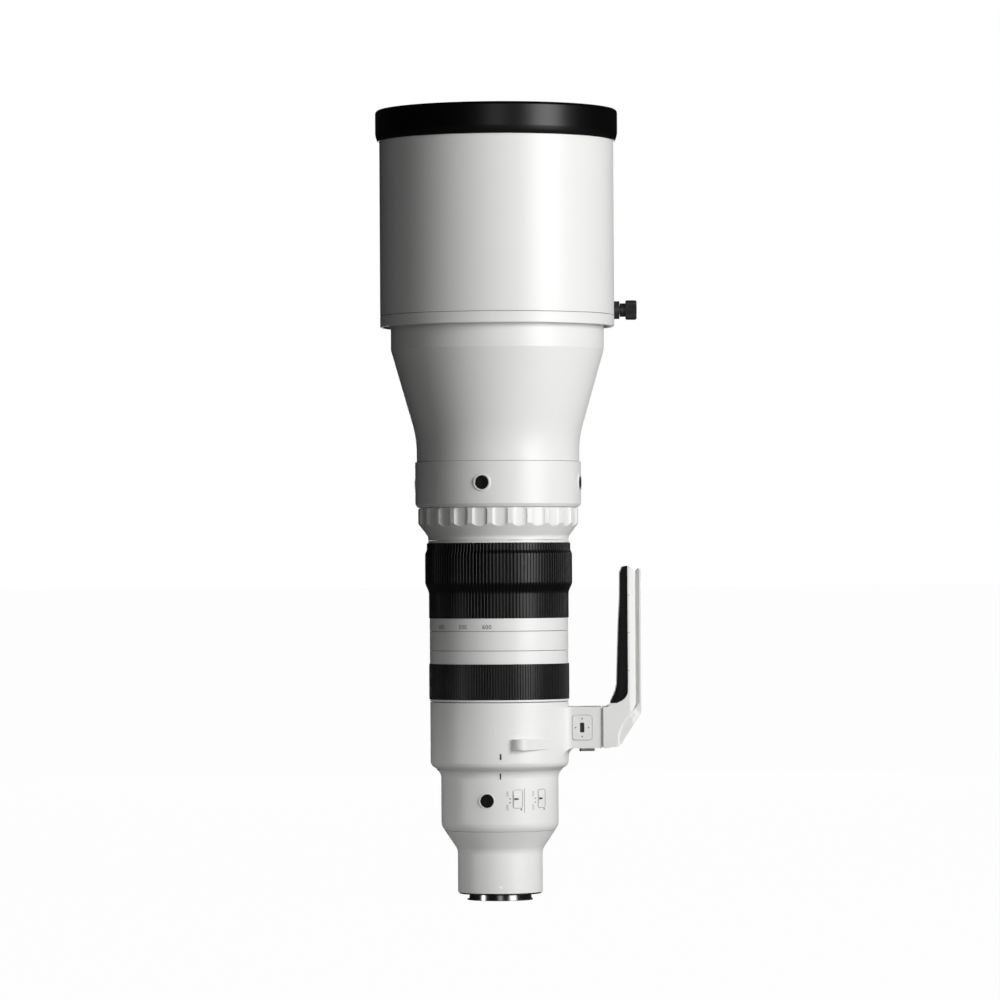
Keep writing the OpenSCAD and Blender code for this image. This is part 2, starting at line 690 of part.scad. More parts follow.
// Cam barrel: each helical slot is a chain of straight cuts along the helix, round at its ends
cam_steps = 6;
module cam_slot(z_start, rise) {
    slope = atan2(rise, zoom_turn * PI / 180 * cam_out);
    step = zoom_turn / cam_steps;
    step_len = 2 * cam_out * tan(step / 2) / cos(slope) + 0.4;
    for (a = slot_angles) {
        for (i = [0:cam_steps - 1]) rotate(a + (i + 0.5) * step)
            translate([0, -cam_out + cam_wall / 2, z_start + rise * (i + 0.5) / cam_steps])
                rotate([0, -slope, 0])
                    cube([step_len, cam_wall + 4, 2 * (roller_r + run_gap)], center = true);
        for (i = [0:cam_steps]) spoke(a + i * step, z_start + rise * i / cam_steps,
            roller_r + run_gap, cam_in - 1, cam_out + 1);
    }
}
cam_low = z_zoom + 1.3;
cam_high = variator_z + 2 * cell_half_h;
module cam_barrel() color("gray") difference() {
    sleeve(cam_in, cam_out, cam_low, cam_high);
    cam_slot(variator_z, -variator_travel);
    cam_slot(compensator_z, compensator_travel);
}

// Zoom ring: the focal-length band, the grip's seat and the two flanges on the cam barrel
z_grip = z_zoom + scale_band;
z_grip_top = z_function - grip_top_drop;
module zoom_ring() color("white") turned([[cam_out + fit_gap, z_zoom + 4], [cam_out + fit_gap, z_zoom + 2],
    [ring_in, z_zoom + 2], [ring_in, z_zoom + seam_gap / 2], [band_r - 0.3, z_zoom + seam_gap / 2],
    [band_r, z_zoom + seam_gap / 2 + 0.3], [band_r, z_grip], [grip_seat_r, z_grip],
    [grip_seat_r, z_grip_top], [function_lip_r, z_grip_top], [function_lip_r, z_function - seam_gap / 2],
    [ring_in, z_function - seam_gap / 2], [ring_in, z_function - 6],
    [cam_out + fit_gap, z_function - 6], [cam_out + fit_gap, z_function - 9],
    [ring_in, z_function - 9], [ring_in, z_zoom + 4]]);

// Outline of the zoom grip's rib tops, moved in by d
function zoom_outline(d) = [[grip_low_r - d, z_grip], [grip_low_r - d, z_grip + 19.7],
    [grip_r - d, z_grip + 27.7], [grip_r - d, z_grip_top - 8], [grip_top_r - d, z_grip_top - 5.3],
    [grip_top_r - d, z_grip_top]];
function focus_outline(d) = [[focus_grip_r - d, z_focus + focus_band_low],
    [focus_grip_r - d, z_index - focus_band_top]];

// A grip sleeve: a turned core with n straight ribs that follow the outline
module star(n, r_in, r_out) polygon([for (i = [0:n - 1], c = [[-0.5, r_in], [-0.5 * rib_share - 0.1, r_in],
    [-0.5 * rib_share, r_out], [0.5 * rib_share, r_out], [0.5 * rib_share + 0.1, r_in]])
    let(t = (i + c[0]) * 360 / n) c[1] * [cos(t), sin(t)]]);

module ribbed_grip(n, tops, roots, r_max, low, high) {
    intersection() {
        turned(concat(tops, [[grip_seat_r + fit_gap, high], [grip_seat_r + fit_gap, low]]));
        union() {
            turned(concat(roots, [[grip_seat_r + fit_gap, high], [grip_seat_r + fit_gap, low]]));
            translate([0, 0, low]) linear_extrude(high - low) difference() {
                star(n, grip_seat_r + 0.8, r_max + 1);
                circle(grip_seat_r + fit_gap);
            }
        }
    }
}
module zoom_grip() color("black")
    ribbed_grip(zoom_ribs, zoom_outline(0), zoom_outline(rib_depth), grip_r, z_grip, z_grip_top);
module focus_grip() color("black") ribbed_grip(focus_ribs, focus_outline(0), focus_outline(rib_depth),
    focus_grip_r, z_focus + focus_band_low, z_index - focus_band_top);

// Fixed ring between the zoom and focus rings, on a web from the main tube
module index_ring() color("white") turned([[main_r + fit_gap, z_index + 6], [ring_in, z_index + 6],
    [ring_in, z_index + seam_gap / 2], [band_r - 0.3, z_index + seam_gap / 2],
    [band_r, z_index + seam_gap / 2 + 0.3], [band_r, z_zoom - seam_gap / 2 - 0.3],
    [band_r - 0.3, z_zoom - seam_gap / 2], [ring_in, z_zoom - seam_gap / 2], [ring_in, z_index + 9],
    [main_r + fit_gap, z_index + 9]]);

// Focus ring with two flanges that turn on the main tube
module focus_ring() color("white") turned([[main_r + run_gap, z_focus + 1], [ring_in, z_focus + 1],
    [ring_in, z_focus + seam_gap / 2], [band_r - 0.3, z_focus + seam_gap / 2],
    [band_r, z_focus + seam_gap / 2 + 0.3], [band_r, z_focus + focus_band_low],
    [grip_seat_r, z_focus + focus_band_low], [grip_seat_r, z_index - focus_band_top],
    [band_r, z_index - focus_band_top], [band_r, z_index - seam_gap / 2 - 0.3],
    [band_r - 0.3, z_index - seam_gap / 2], [ring_in, z_index - seam_gap / 2], [ring_in, z_index - 1],
    [main_r + run_gap, z_index - 1], [main_r + run_gap, z_index - 4], [ring_in, z_index - 4],
    [ring_in, z_focus + 4], [main_r + run_gap, z_focus + 4]]);

// Focus cell on two guide rods, between the two bars of its linear motor
focus_low = rod_shelf + 2.5 + run_gap;
focus_h = 13;
focus_seat = focus_low + 3;
motor_angle = 16;
module at_motors() for (a = [90, 270]) rotate(a - motor_angle / 2) children();
module focus_cell() color("dimgray") difference() {
    cell(body_bore - run_gap, focus_r, focus_low, focus_low + focus_h, focus_seat);
    for (a = [0, 180]) rotate(a) translate([rod_pitch_r, 0, focus_low - 1])
        cylinder(h = focus_h + 2, r = rod_r + shaft_gap);
    rotate(-1) at_motors() rotate_extrude(angle = motor_angle + 2)
        translate([motor_r - 0.4, focus_low - 1]) square([body_bore - motor_r + 1, focus_h + 2]);
}
module focus_lens() color("lightblue") element(focus_r, focus_seat, focus_seat + focus_lens_t, -2, 3);
module guide_rods() color("silver") for (a = [0, 180]) rotate(a)
    translate([rod_pitch_r, 0, rod_shelf + 0.5]) cylinder(h = z_front + 2 - rod_shelf - 0.5, r = rod_r);
module focus_motor() color("gray") at_motors() rotate_extrude(angle = motor_angle)
    translate([motor_r, rod_shelf + 2.5])
        square([body_bore - fit_gap - motor_r, run_gap + focus_h + focus_travel]);

// Button barrel with the rims of the hold buttons and the function ring's sleeve
hold_z = z_button + button_height;
module button_barrel() color("white") difference() {
    union() {
        turned([[function_sleeve_r - 2, z_function + 2], [function_sleeve_r, z_function + 2],
            [function_sleeve_r, z_button + seam_gap / 2],
            [button_r - button_chamfer_w, z_button + seam_gap / 2],
            [button_r, z_button + button_chamfer_h], [button_r, z_front - 0.8], [button_r - 0.8, z_front],
            [button_bore, z_front], [button_bore, z_button + 3], [function_sleeve_r - 2, z_button + 3]]);
        for (i = [0:3]) spoke(button_angle + 90 * i, hold_z, button_rim_r, button_bore + 1,
            button_r + button_rim_h);
    }
    for (i = [0:3]) spoke(button_angle + 90 * i, hold_z, button_cap_r + 0.2, button_bore - 4, button_r + 4);
}

module hold_button(i) color("black") {
    a = button_angle + 90 * i;
    spoke(a, hold_z, button_cap_r, button_r - 2.3, button_r + 0.3);
    spoke(a, hold_z, button_cap_r - 0.6, button_bore - 1.7, button_r - 1.6);
    spoke(a, hold_z, button_cap_r + 0.9, button_bore - 2.4, button_bore - 1.1);
}

// Function ring: scallops cut along the axis, round at the bottom where they run out on the cone
scallop_edge_d = scallop_d - function_r + sqrt(pow(function_r, 2) - pow(scallop_w / 2, 2));
scallop_flat = scallop_w / 2 - sqrt(2 * scallop_side_r * scallop_edge_d - pow(scallop_edge_d, 2));
module function_ring() color("white") difference() {
    turned([[function_sleeve_r + run_gap, z_function + seam_gap / 2],
        [function_lip_r, z_function + seam_gap / 2], [function_lip_r, z_function + function_lip_h],
        [function_r - 0.7, z_button - scallop_band - 1.2], [function_r, z_button - scallop_band],
        [function_r, z_button - 1.6], [function_r - 1.3, z_button - seam_gap / 2],
        [function_sleeve_r + run_gap, z_button - seam_gap / 2]]);
    for (i = [0:scallops_n - 1]) rotate(scallop_angle + i * 360 / scallops_n)
        translate([0, scallop_d - function_r - scallop_side_r, z_function + 3]) {
            for (s = [-1, 1]) translate([s * scallop_flat, 0, 0])
                cylinder(h = function_len, r = scallop_side_r);
            translate([-scallop_flat, 0, 0]) cube([2 * scallop_flat, scallop_side_r, function_len]);
        }
}

// Front barrel: a slim straight end, a hollow flare and a straight front end
module front_barrel() color("white") turned(concat([[front_neck_r - wall, z_front],
    [front_neck_r - 0.4, z_front], [front_neck_r, z_front + 0.4]], flare(0),
    [[front_r, z_rim - 0.8], [front_r - 0.8, z_rim], [front_r - wall, z_rim]],
    reversed(flare(wall))));

// Front cell, inside the front barrel, with the shelf of the front lens
cell_gap = 0.4;
cell_wall = 1.8;
lens_shelf = z_rim - front_seat_depth;
cell_top = z_rim - front_ring_depth;
module front_cell() color("black") difference() {
    turned(concat([[rod_pitch_r - 4, z_front], [front_neck_r - wall - cell_gap, z_front]], flare(wall + cell_gap),
        [[front_r - wall - cell_gap, lens_shelf - 6], [front_r - wall - fit_gap, lens_shelf - 6],
        [front_r - wall - fit_gap, cell_top], [front_lens_r + fit_gap, cell_top],
        [front_lens_r + fit_gap, lens_shelf], [front_lens_r - 4, lens_shelf],
        [front_lens_r - 4, lens_shelf - 3]],
        reversed(flare(wall + cell_gap + cell_wall)),
        [[front_neck_r - wall - cell_gap - cell_wall, z_front + 3], [rod_pitch_r - 4, z_front + 3]]));
    for (a = [0, 180]) rotate(a) translate([rod_pitch_r, 0, z_front - 1])
        cylinder(h = 3.2, r = rod_r + fit_gap);
}
module front_lens() color("lightblue") element(front_lens_r, lens_shelf, cell_top - 0.7, -4, 9.5);
module front_ring() color("black") turned([[front_lens_r - 2.5, cell_top], [front_r - wall - fit_gap, cell_top],
    [front_r - wall - fit_gap, z_rim - 1], [front_r - wall - 1.2, z_rim - 1],
    [front_lens_r - 2.5, cell_top + 2]]);

// Tripod collar with the arm, its fillets and the boss of the lock knob
arm_z = z_collar + arm_height;
arm_low = arm_z - arm_h / 2;
arm_high = arm_z + arm_h / 2;
arm_out = arm_w / 2;
knob_z = z_collar + knob_height;
knob_boss = collar_r + 2.6;
screw_places = [[-10, -8.5], [-10, 8.5], [10, -8.5], [10, 8.5]];
module at_foot_screws() for (p = screw_places) translate([0, p[0], arm_z + p[1]]) rotate([0, 90, 0])
    children();
arm_bend = [sqrt(pow(collar_r - 0.4 + arm_bend_r, 2) - pow(arm_out + arm_bend_r, 2)), -arm_out - arm_bend_r];
arm_side = concat([[30, -15]], arc(arm_bend, arm_bend_r, 180 + atan2(arm_bend[1], arm_bend[0]), 90, 8),
    [[arm_reach - 1.5, -arm_out], [arm_reach, 1.5 - arm_out]]);
module arm_plan() polygon(concat(arm_side, [for (p = reversed(arm_side)) [p[0], -p[1]]]));
module arm_fillet() turned(concat([[collar_r - 1, arm_low + 1], [collar_r - 1, arm_low - arm_fillet_r]],
    arc([collar_r + arm_fillet_r, arm_low - arm_fillet_r], arm_fillet_r, 180, 90),
    [[collar_r + arm_fillet_r, arm_low + 1]]));
module collar_ring() color("white") difference() {
    union() {
        turned(concat([[drum_r + run_gap, z_collar + seam_gap],
            [collar_r - collar_round_r * (1 - cos(collar_round_angle)) - collar_run_w, z_collar + seam_gap]],
            arc([collar_r - collar_round_r, z_collar + seam_gap + collar_run_h
                + collar_round_r * sin(collar_round_angle)], collar_round_r, -collar_round_angle, 0),
            [[collar_r, z_focus - seam_gap - 0.4], [collar_r - 0.4, z_focus - seam_gap],
            [drum_r + run_gap, z_focus - seam_gap]]));
        difference() {
            union() {
                translate([0, 0, arm_low]) linear_extrude(arm_h) arm_plan();
                intersection() {
                    arm_fillet();
                    translate([0, 0, z_collar]) linear_extrude(collar_len) arm_plan();
                }
            }
            translate([0, 0, z_collar]) cylinder(h = collar_len, r = drum_r + 2);
        }
        spoke(180, knob_z, 9.2, drum_r + 2, knob_boss);
    }
    spoke(180, knob_z, 3 + shaft_gap, drum_r - 2, knob_boss + 1);
    at_foot_screws() translate([0, 0, arm_reach - 14]) cylinder(h = 20, r = foot_screw_r + fit_gap);
    plate_cut(2.5);
    translate([click_x - 6 - click_travel, -4.3, arm_low - 3.2])
        cube([12 + 2 * click_travel, 8.6, 3.2 + 2.4]);
}

// Security plate on the side of the arm
plate_z = arm_z + 0.1;
module plate_cut(depth) {
    translate([plate_x, -arm_out + depth, plate_z]) rotate([90, 0, 0]) linear_extrude(depth + 5)
        plate_outline(plate_w + 2 * fit_gap, plate_len + 2 * fit_gap, 2.4 + fit_gap);
}
module plate_outline(w, h, r) union() {
    square([w - 2 * r, h], center = true);
    square([w, h - 2 * r], center = true);
    for (x = [-1, 1], y = [-1, 1]) translate([x * (w / 2 - r), y * (h / 2 - r)]) circle(r);
}
module security_plate() color("white") translate([plate_x, -arm_out + 2.5, plate_z])
    rotate([90, 0, 0]) linear_extrude(2.5 + plate_t) difference() {
        plate_outline(plate_w, plate_len, 2.4);
        plate_outline(slot_w, slot_len, slot_w / 2 - 0.01);
    }

// Strap lugs: a straight bar from a tangent on the collar to a round free end, with a slot behind it
function round_point(a, r) = r * [sin(a), -cos(a)];
lug_corner_r = collar_r / cos(lug_start_angle - lug_end_angle);
lug_middle_angle = (lug_start_angle + lug_foot_angle) / 2;
lug_z = z_collar + lug_height;
lug_end = round_point(lug_start_angle, collar_r - lug_end_r) + round_point(lug_start_angle - 90, lug_len);
module lug_shape() difference() {
    polygon(concat([round_point(lug_start_angle, collar_r)],
        arc(lug_end, lug_end_r, lug_start_angle - 90, lug_start_angle - 188, 8),
        [round_point(lug_foot_angle, collar_r - 1), round_point(lug_middle_angle, collar_r - 4),
        round_point(lug_start_angle - 8, collar_r - 4)]));
    circle(collar_r + fit_gap);
    intersection() {
        polygon([round_point(lug_start_angle, collar_r - lug_bar),
            round_point(lug_end_angle, lug_corner_r - lug_bar),
            round_point(lug_end_angle, collar_r - 3), round_point(lug_start_angle, collar_r - 6)]);
        rotate(-90) polygon([[0, 0], 100 * [cos(lug_end_angle), sin(lug_end_angle)],
            100 * [cos(lug_start_angle), sin(lug_start_angle)]]);
    }
}
module strap_lugs() color("white") for (s = [0, 1]) mirror([0, s, 0])
    translate([0, 0, lug_z]) linear_extrude(lug_h) lug_shape();

// Collar lock knob on the left-hand side
module fluted_knob(r, h, chamfer) intersection() {
    linear_extrude(h) polygon([for (i = [0:knob_flutes - 1], c = [[-0.3, r], [0.3, r], [0.5, r - 0.5]])
        let(t = (i + c[0]) * 360 / knob_flutes) c[1] * [cos(t), sin(t)]]);
    turned([[0, 0], [r - chamfer, 0], [r + 0.1, chamfer], [r + 0.1, h - chamfer], [r - chamfer, h], [0, h]]);
}
module collar_knob() color("black") {
    spoke(180, knob_z, 3, drum_r + run_gap + 1, knob_boss + 1.2);
    translate([0, knob_boss + run_gap, knob_z]) rotate([-90, 0, 0]) fluted_knob(knob_r, knob_len, 1);
}

// Small slider in the underside of the arm
module click_switch() color("gray") {
    translate([click_x - 6, -4, arm_low - 2.8]) cube([12, 8, 2.5]);
    translate([click_x - 5, -4, arm_low - 1]) cube([10, 8, 3.1]);
}

// Foot: an upright bar with a dovetail groove round its sides and top, on a block at the arm
z_foot_low = arm_low - 0.2;
z_foot_top = z_foot_low + foot_len;
x_foot = arm_reach + foot_gap;
x_upper = foot_reach - dovetail_edge - groove_out - groove_in;
x_neck = foot_reach - dovetail_edge - groove_out;
x_edge = foot_reach - dovetail_edge;
neck_half_w = dovetail_w / 2 - groove_cut;
dovetail_top = z_foot_top - 2.2;
x_pad = x_upper - 0.5;
pad_foot = arm_high + 2.9;
pad_line = concat([[x_pad - 13.2, pad_foot], [x_pad - 8.5, pad_foot + 0.1]],
    arc([x_pad - 9.4, pad_foot + 10.2], 9.4, -70, -8, 4), [[x_pad, pad_foot + 14.8]],
    [[x_pad, z_foot_top]]);
slope_low = [foot_reach - 17.1, z_foot_low + 1.6];
slope_high = [foot_reach - 0.3, arm_high - 5];
module foot_side() polygon(concat([[x_foot, z_foot_low], slope_low,
    slope_high, [foot_reach, arm_high - 3], [foot_reach, dovetail_top],
    [x_edge, dovetail_top], [x_neck, dovetail_top - groove_cut], [x_upper, z_foot_top]],
    reversed(pad_line), [[x_foot + 4, arm_high + 1.2],
    [x_foot + 2.4, arm_high + 0.2], [x_foot, arm_high - 0.6]]));
foot_body = [[x_foot, foot_w / 2 - 2.5], [x_foot + 1, foot_w / 2 - 1], [x_foot + 2.5, foot_w / 2],
    [x_upper, foot_w / 2]];
foot_edge = [[x_edge, dovetail_w / 2], [foot_reach, dovetail_w / 2]];
module foot_plan(half) linear_extrude(foot_len + 2)
    polygon(concat(half, [for (p = reversed(half)) [p[0], -p[1]]]));
module foot_upright() translate([0, foot_w, 0]) rotate([90, 0, 0]) linear_extrude(2 * foot_w) children();

// Block under the end of the dovetail's groove, whose upper face slants up to the foot's outer face
module foot_block() intersection() {
    foot_upright() intersection() {
        foot_side();
        polygon([[x_foot, z_foot_low], [foot_reach, z_foot_low], [foot_reach, arm_high + groove_end],
            [x_neck, arm_high], [x_foot, arm_high - 6]]);
    }
    translate([0, 0, z_foot_low - 1]) foot_plan(concat(foot_body, foot_edge));
}

// Bevels along both edges of the foot's lower slope
module slope_bevels() for (s = [0, 1]) mirror([0, s, 0]) translate([slope_low[0], 0, slope_low[1]])
    rotate([0, atan2(slope_high[0] - slope_low[0], slope_high[1] - slope_low[1]), 0])
        translate([0, 0, -foot_bevel_w]) linear_extrude(60)
            polygon([[-foot_bevel_w, foot_w / 2], [0, foot_w / 2 - foot_bevel_d],
                [9, foot_w / 2 - 2.5 * foot_bevel_d], [9, foot_w], [-foot_bevel_w, foot_w]]);

module foot() color("white") difference() {
    union() {
        intersection() {
            foot_upright() foot_side();
            translate([0, 0, z_foot_low - 1])
                foot_plan(concat(foot_body, [[x_neck, neck_half_w]], foot_edge));
        }
        foot_block();
        translate([arm_reach, -arm_out + 4, arm_low + 3]) cube([foot_gap + 1, arm_w - 8, arm_h - 6]);
    }
    at_foot_screws() {
        translate([0, 0, arm_reach - 1]) cylinder(h = 40, r = foot_screw_r + fit_gap);
        translate([0, 0, x_foot + 6]) cylinder(h = 40, r = foot_screw_head_r + fit_gap);
    }
    slope_bevels();
    for (t = [[small_thread_r, 47], [large_thread_r, 67]])
        translate([foot_reach - thread_depth, 0, arm_high + t[1]]) rotate([0, 90, 0])
            cylinder(h = thread_depth + 1, r = t[0]);
}
module foot_screws() color("dimgray") at_foot_screws() difference() {
    union() {
        translate([0, 0, arm_reach - 13]) cylinder(h = 13 + foot_gap + 7, r = foot_screw_r);
        translate([0, 0, x_foot + 6]) cylinder(h = 5, r = foot_screw_head_r);
    }
    translate([0, 0, x_foot + 8.5]) cylinder(h = 5, r = 2.3, $fn = 6);
}

// Grip pad on the inner side of the foot
module foot_pad() color("black") intersection() {
    translate([0, pad_w, 0]) rotate([90, 0, 0]) linear_extrude(2 * pad_w) polygon(concat(pad_line,
        [[x_pad - pad_t, z_foot_top], [x_pad - 5.8, z_foot_top - 5], [x_pad - 6, z_foot_top - 24.8],
        [x_pad - 7.1, z_foot_top - 45.3], [x_pad - 8.1, z_foot_top - 73.6],
        [x_pad - 8.6, pad_foot + 15], [x_pad - 9.6, pad_foot + 10], [x_pad - 11.4, pad_foot + 5.6],
        [x_pad - 13.6, pad_foot + 1]]));
    translate([0, 0, pad_foot - 1]) linear_extrude(foot_len) hull() for (s = [-1, 1]) {
        translate([x_pad - 10 + 3.5, s * (pad_w / 2 - 8)]) circle(8);
        translate([x_pad - 1, s * (pad_w / 2 - 1)]) square([2, 2], center = true);
        translate([x_pad - 14, s * (pad_w / 2 - 11)]) circle(2);
    }
}

// Hood: a plain tube with the hole for the boss of its screw
bore_hood = hood_r - hood_wall;
edge_r = hood_wall - 0.4;
screw_z = z_hood + screw_height;
module hood_tube() color("white") difference() {
    turned(concat([[bore_hood, z_hood]], arc([hood_r - edge_r, z_hood + edge_r], edge_r, -90, 0, 4),
        [[hood_r, z_hood_top - 3], [bore_hood, z_hood_top - 3]]));
    spoke(90, screw_z, boss_r + fit_gap, bore_hood - 3, hood_r + 3);
}
module hood_bumper() color("black") turned(concat([[hood_r + fit_gap, z_bumper],
    [hood_r + 1.2, z_bumper], [bumper_r, z_bumper + 6]],
    arc([bumper_r - 2.5, z_hood_top - 2.5], 2.5, 0, 90, 4),
    [[bore_hood - 1.5, z_hood_top], [bore_hood - 2, z_hood_top - 0.6], [bore_hood - 2, z_hood_top - 9],
    [bore_hood - fit_gap, z_hood_top - 9], [bore_hood - fit_gap, z_hood_top - 3],
    [hood_r + fit_gap, z_hood_top - 3]]));
module hood_lining() color("black") difference() {
    union() {
        turned([[front_r + run_gap, z_hood + 2.2], [bore_hood - fit_gap, z_hood + 2.2],
            [bore_hood - fit_gap, z_hood_top - 9], [bore_hood - fit_gap - lining_t, z_hood_top - 9],
            [bore_hood - fit_gap - lining_t, z_rim + 3], [front_r - 2, z_rim + 3],
            [front_r - 2, z_rim + run_gap / 2], [front_r + 2.5, z_rim + run_gap / 2],
            [front_r + 2.5, z_hood + 2.2 + clamp_h], [front_r + run_gap, z_hood + 2.2 + clamp_h]]);
        spoke(90, screw_z, boss_r, front_r + 2, hood_r + 4.1);
    }
    spoke(90, screw_z, hood_screw_r + shaft_gap, front_r - 1, hood_r + 5);
}
module hood_screw() color("black") {
    spoke(90, screw_z, hood_screw_r, front_r + run_gap + 0.2, hood_r + 5);
    spoke(90, screw_z, screw_neck_r, hood_r + 4.1 + run_gap, hood_r + 9);
    translate([hood_r + 8.8, 0, screw_z]) rotate([0, 90, 0]) fluted_knob(screw_knob_r, 8.8, 0.9);
}

tail_barrel();
bayonet();
mount_seal();
mount_screws();
contact_block();
contact_pins();
rear_baffle();
rear_cell();
rear_lens();
main_board();
rear_barrel();
main_tube();
iris_unit();
guide_rods();
focus_motor();
index_ring();
button_barrel();
front_barrel();
front_cell();
front_lens();
front_ring();
function_ring();
zoom_ring();
zoom_grip();
cam_barrel();
variator_cell();
variator_lens();
compensator_cell();
compensator_lens();
focus_ring();
focus_grip();
focus_cell();
focus_lens();
stabiliser_frame();
stabiliser_cell();
stabiliser_lens();
collar_ring();
foot();
foot_pad();
foot_screws();
security_plate();
strap_lugs();
collar_knob();
click_switch();
hood_tube();
hood_bumper();
hood_lining();
hood_screw();
hold_button(0);  // hold_button_1
hold_button(1);  // hold_button_2
hold_button(2);  // hold_button_3
hold_button(3);  // hold_button_4
round_button();
switch_knob(right_switch_angles[0]);  // right_switch_1
switch_knob(right_switch_angles[1]);  // right_switch_2
switch_knob(left_switch_angles[0]);  // left_switch_1
switch_knob(left_switch_angles[1]);  // left_switch_2
switch_knob(left_switch_angles[2]);  // left_switch_3
filter_holder();
filter_glass();
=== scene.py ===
import bpy
import bmesh
import json
import math
import numpy as np
from mathutils import Vector, Matrix


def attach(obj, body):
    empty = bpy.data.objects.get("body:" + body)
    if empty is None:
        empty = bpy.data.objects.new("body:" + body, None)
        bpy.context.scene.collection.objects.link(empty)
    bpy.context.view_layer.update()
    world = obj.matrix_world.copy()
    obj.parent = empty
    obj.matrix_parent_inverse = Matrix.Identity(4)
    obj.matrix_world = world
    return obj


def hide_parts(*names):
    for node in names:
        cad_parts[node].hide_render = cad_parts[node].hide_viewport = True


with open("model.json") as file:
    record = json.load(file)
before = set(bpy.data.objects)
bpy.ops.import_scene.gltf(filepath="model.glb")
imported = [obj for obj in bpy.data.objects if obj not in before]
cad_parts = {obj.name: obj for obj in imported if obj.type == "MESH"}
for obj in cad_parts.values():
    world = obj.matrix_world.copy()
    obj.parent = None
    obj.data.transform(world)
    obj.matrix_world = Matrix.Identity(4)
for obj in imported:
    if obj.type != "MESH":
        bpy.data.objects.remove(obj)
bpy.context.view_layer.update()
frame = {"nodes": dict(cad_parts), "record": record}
nodes = frame["nodes"]
MM = 0.001
# Steps round a turned surface
SEG = 288
# How far a print stands off its surface, in mm
PRINT = 0.03
rad = math.radians


# Materials, one for each slot of the record
def material(name, colour, rough, metal=0.0, spec=0.5, grain=None, cell=None):
    """A plain shader, with a bump of fine grain or of cells: scale, strength and depth."""
    mat = bpy.data.materials.new(name)
    mat.use_nodes = True
    tree = mat.node_tree
    shader = tree.nodes["Principled BSDF"]
    shader.inputs["Base Color"].default_value = (*colour, 1)
    shader.inputs["Roughness"].default_value = rough
    shader.inputs["Metallic"].default_value = metal
    shader.inputs["Specular IOR Level"].default_value = spec
    if grain or cell:
        coords = tree.nodes.new("ShaderNodeTexCoord")
        bump = tree.nodes.new("ShaderNodeBump")
        if grain:
            tex = tree.nodes.new("ShaderNodeTexNoise")
            tex.inputs["Detail"].default_value = 2
            out = tex.outputs["Fac"]
        else:
            tex = tree.nodes.new("ShaderNodeTexVoronoi")
            out = tex.outputs["Distance"]
        scale, strength, depth = grain or cell
        tex.inputs["Scale"].default_value = scale
        bump.inputs["Strength"].default_value = strength
        bump.inputs["Distance"].default_value = depth
        tree.links.new(coords.outputs["Object"], tex.inputs["Vector"])
        tree.links.new(out, bump.inputs["Height"])
        tree.links.new(bump.outputs["Normal"], shader.inputs["Normal"])
    return mat


M = {
    "white_paint": material("white_paint", (0.83, 0.83, 0.815), 0.42, grain=(2600, 0.10, 0.0002)),
    "white_plastic": material("white_plastic", (0.82, 0.82, 0.80), 0.38, grain=(2800, 0.06, 0.0002)),
    "black_rubber": material("black_rubber", (0.0015, 0.0015, 0.0017), 0.33, spec=0.25),
    "grip_pad": material("grip_pad", (0.005, 0.005, 0.0055), 0.45, spec=0.3, cell=(1100, 0.5, 0.0003)),
    "black_plastic": material("black_plastic", (0.012, 0.012, 0.013), 0.45, grain=(3000, 0.1, 0.0002)),
    "button_plastic": material("button_plastic", (0.004, 0.004, 0.0045), 0.42, spec=0.25,
                               grain=(2000, 0.05, 0.0002)),
    "grey_plastic": material("grey_plastic", (0.38, 0.37, 0.36), 0.45, grain=(2400, 0.12, 0.0002)),
    "black_metal": material("black_metal", (0.025, 0.025, 0.027), 0.45, metal=0.3,
                            grain=(3000, 0.1, 0.0002)),
    "bare_aluminium": material("bare_aluminium", (0.62, 0.62, 0.63), 0.35, metal=1,
                               grain=(1500, 0.05, 0.0002)),
    "steel": material("steel", (0.5, 0.5, 0.51), 0.3, metal=1, grain=(2000, 0.04, 0.0002)),
    "chrome": material("chrome", (0.13, 0.13, 0.135), 0.2, metal=1, grain=(900, 0.02, 0.0002)),
    "brass": material("brass", (0.80, 0.60, 0.25), 0.25, metal=1, grain=(2000, 0.04, 0.0002)),
    "circuit_board": material("circuit_board", (0.02, 0.14, 0.06), 0.45, grain=(700, 0.15, 0.0002)),
    "lens_glass": material("lens_glass", (0.75, 0.85, 0.88), 0.03),
}
glass = M["lens_glass"].node_tree.nodes["Principled BSDF"]
glass.inputs["Transmission Weight"].default_value = 1.0
glass.inputs["IOR"].default_value = 1.5
# The dark ink serves for print, and also as painted shade in the security slot.
INK_AND_HOLE_SHADE = material("printed_ink_and_hole_shade", (0.03, 0.028, 0.027), 0.5)
# The grey ink serves for print, and also as painted shade round the switch recesses and in the gap below each
# switch frame.
GREY_INK_AND_RECESS_SHADE = material("grey_ink_and_recess_shade", (0.20, 0.185, 0.18), 0.5)
PALE_INK = material("pale_ink", (0.46, 0.43, 0.42), 0.5)
SHADOW = material("seam_shadow", (0.10, 0.09, 0.085), 0.8)
DOT = material("white_dot", (0.9, 0.9, 0.9), 0.3)

for part in frame["record"]["subparts"]:
    data = nodes[part["node"]].data
    data.materials.clear()
    data.materials.append(M[part["material_slot"]])


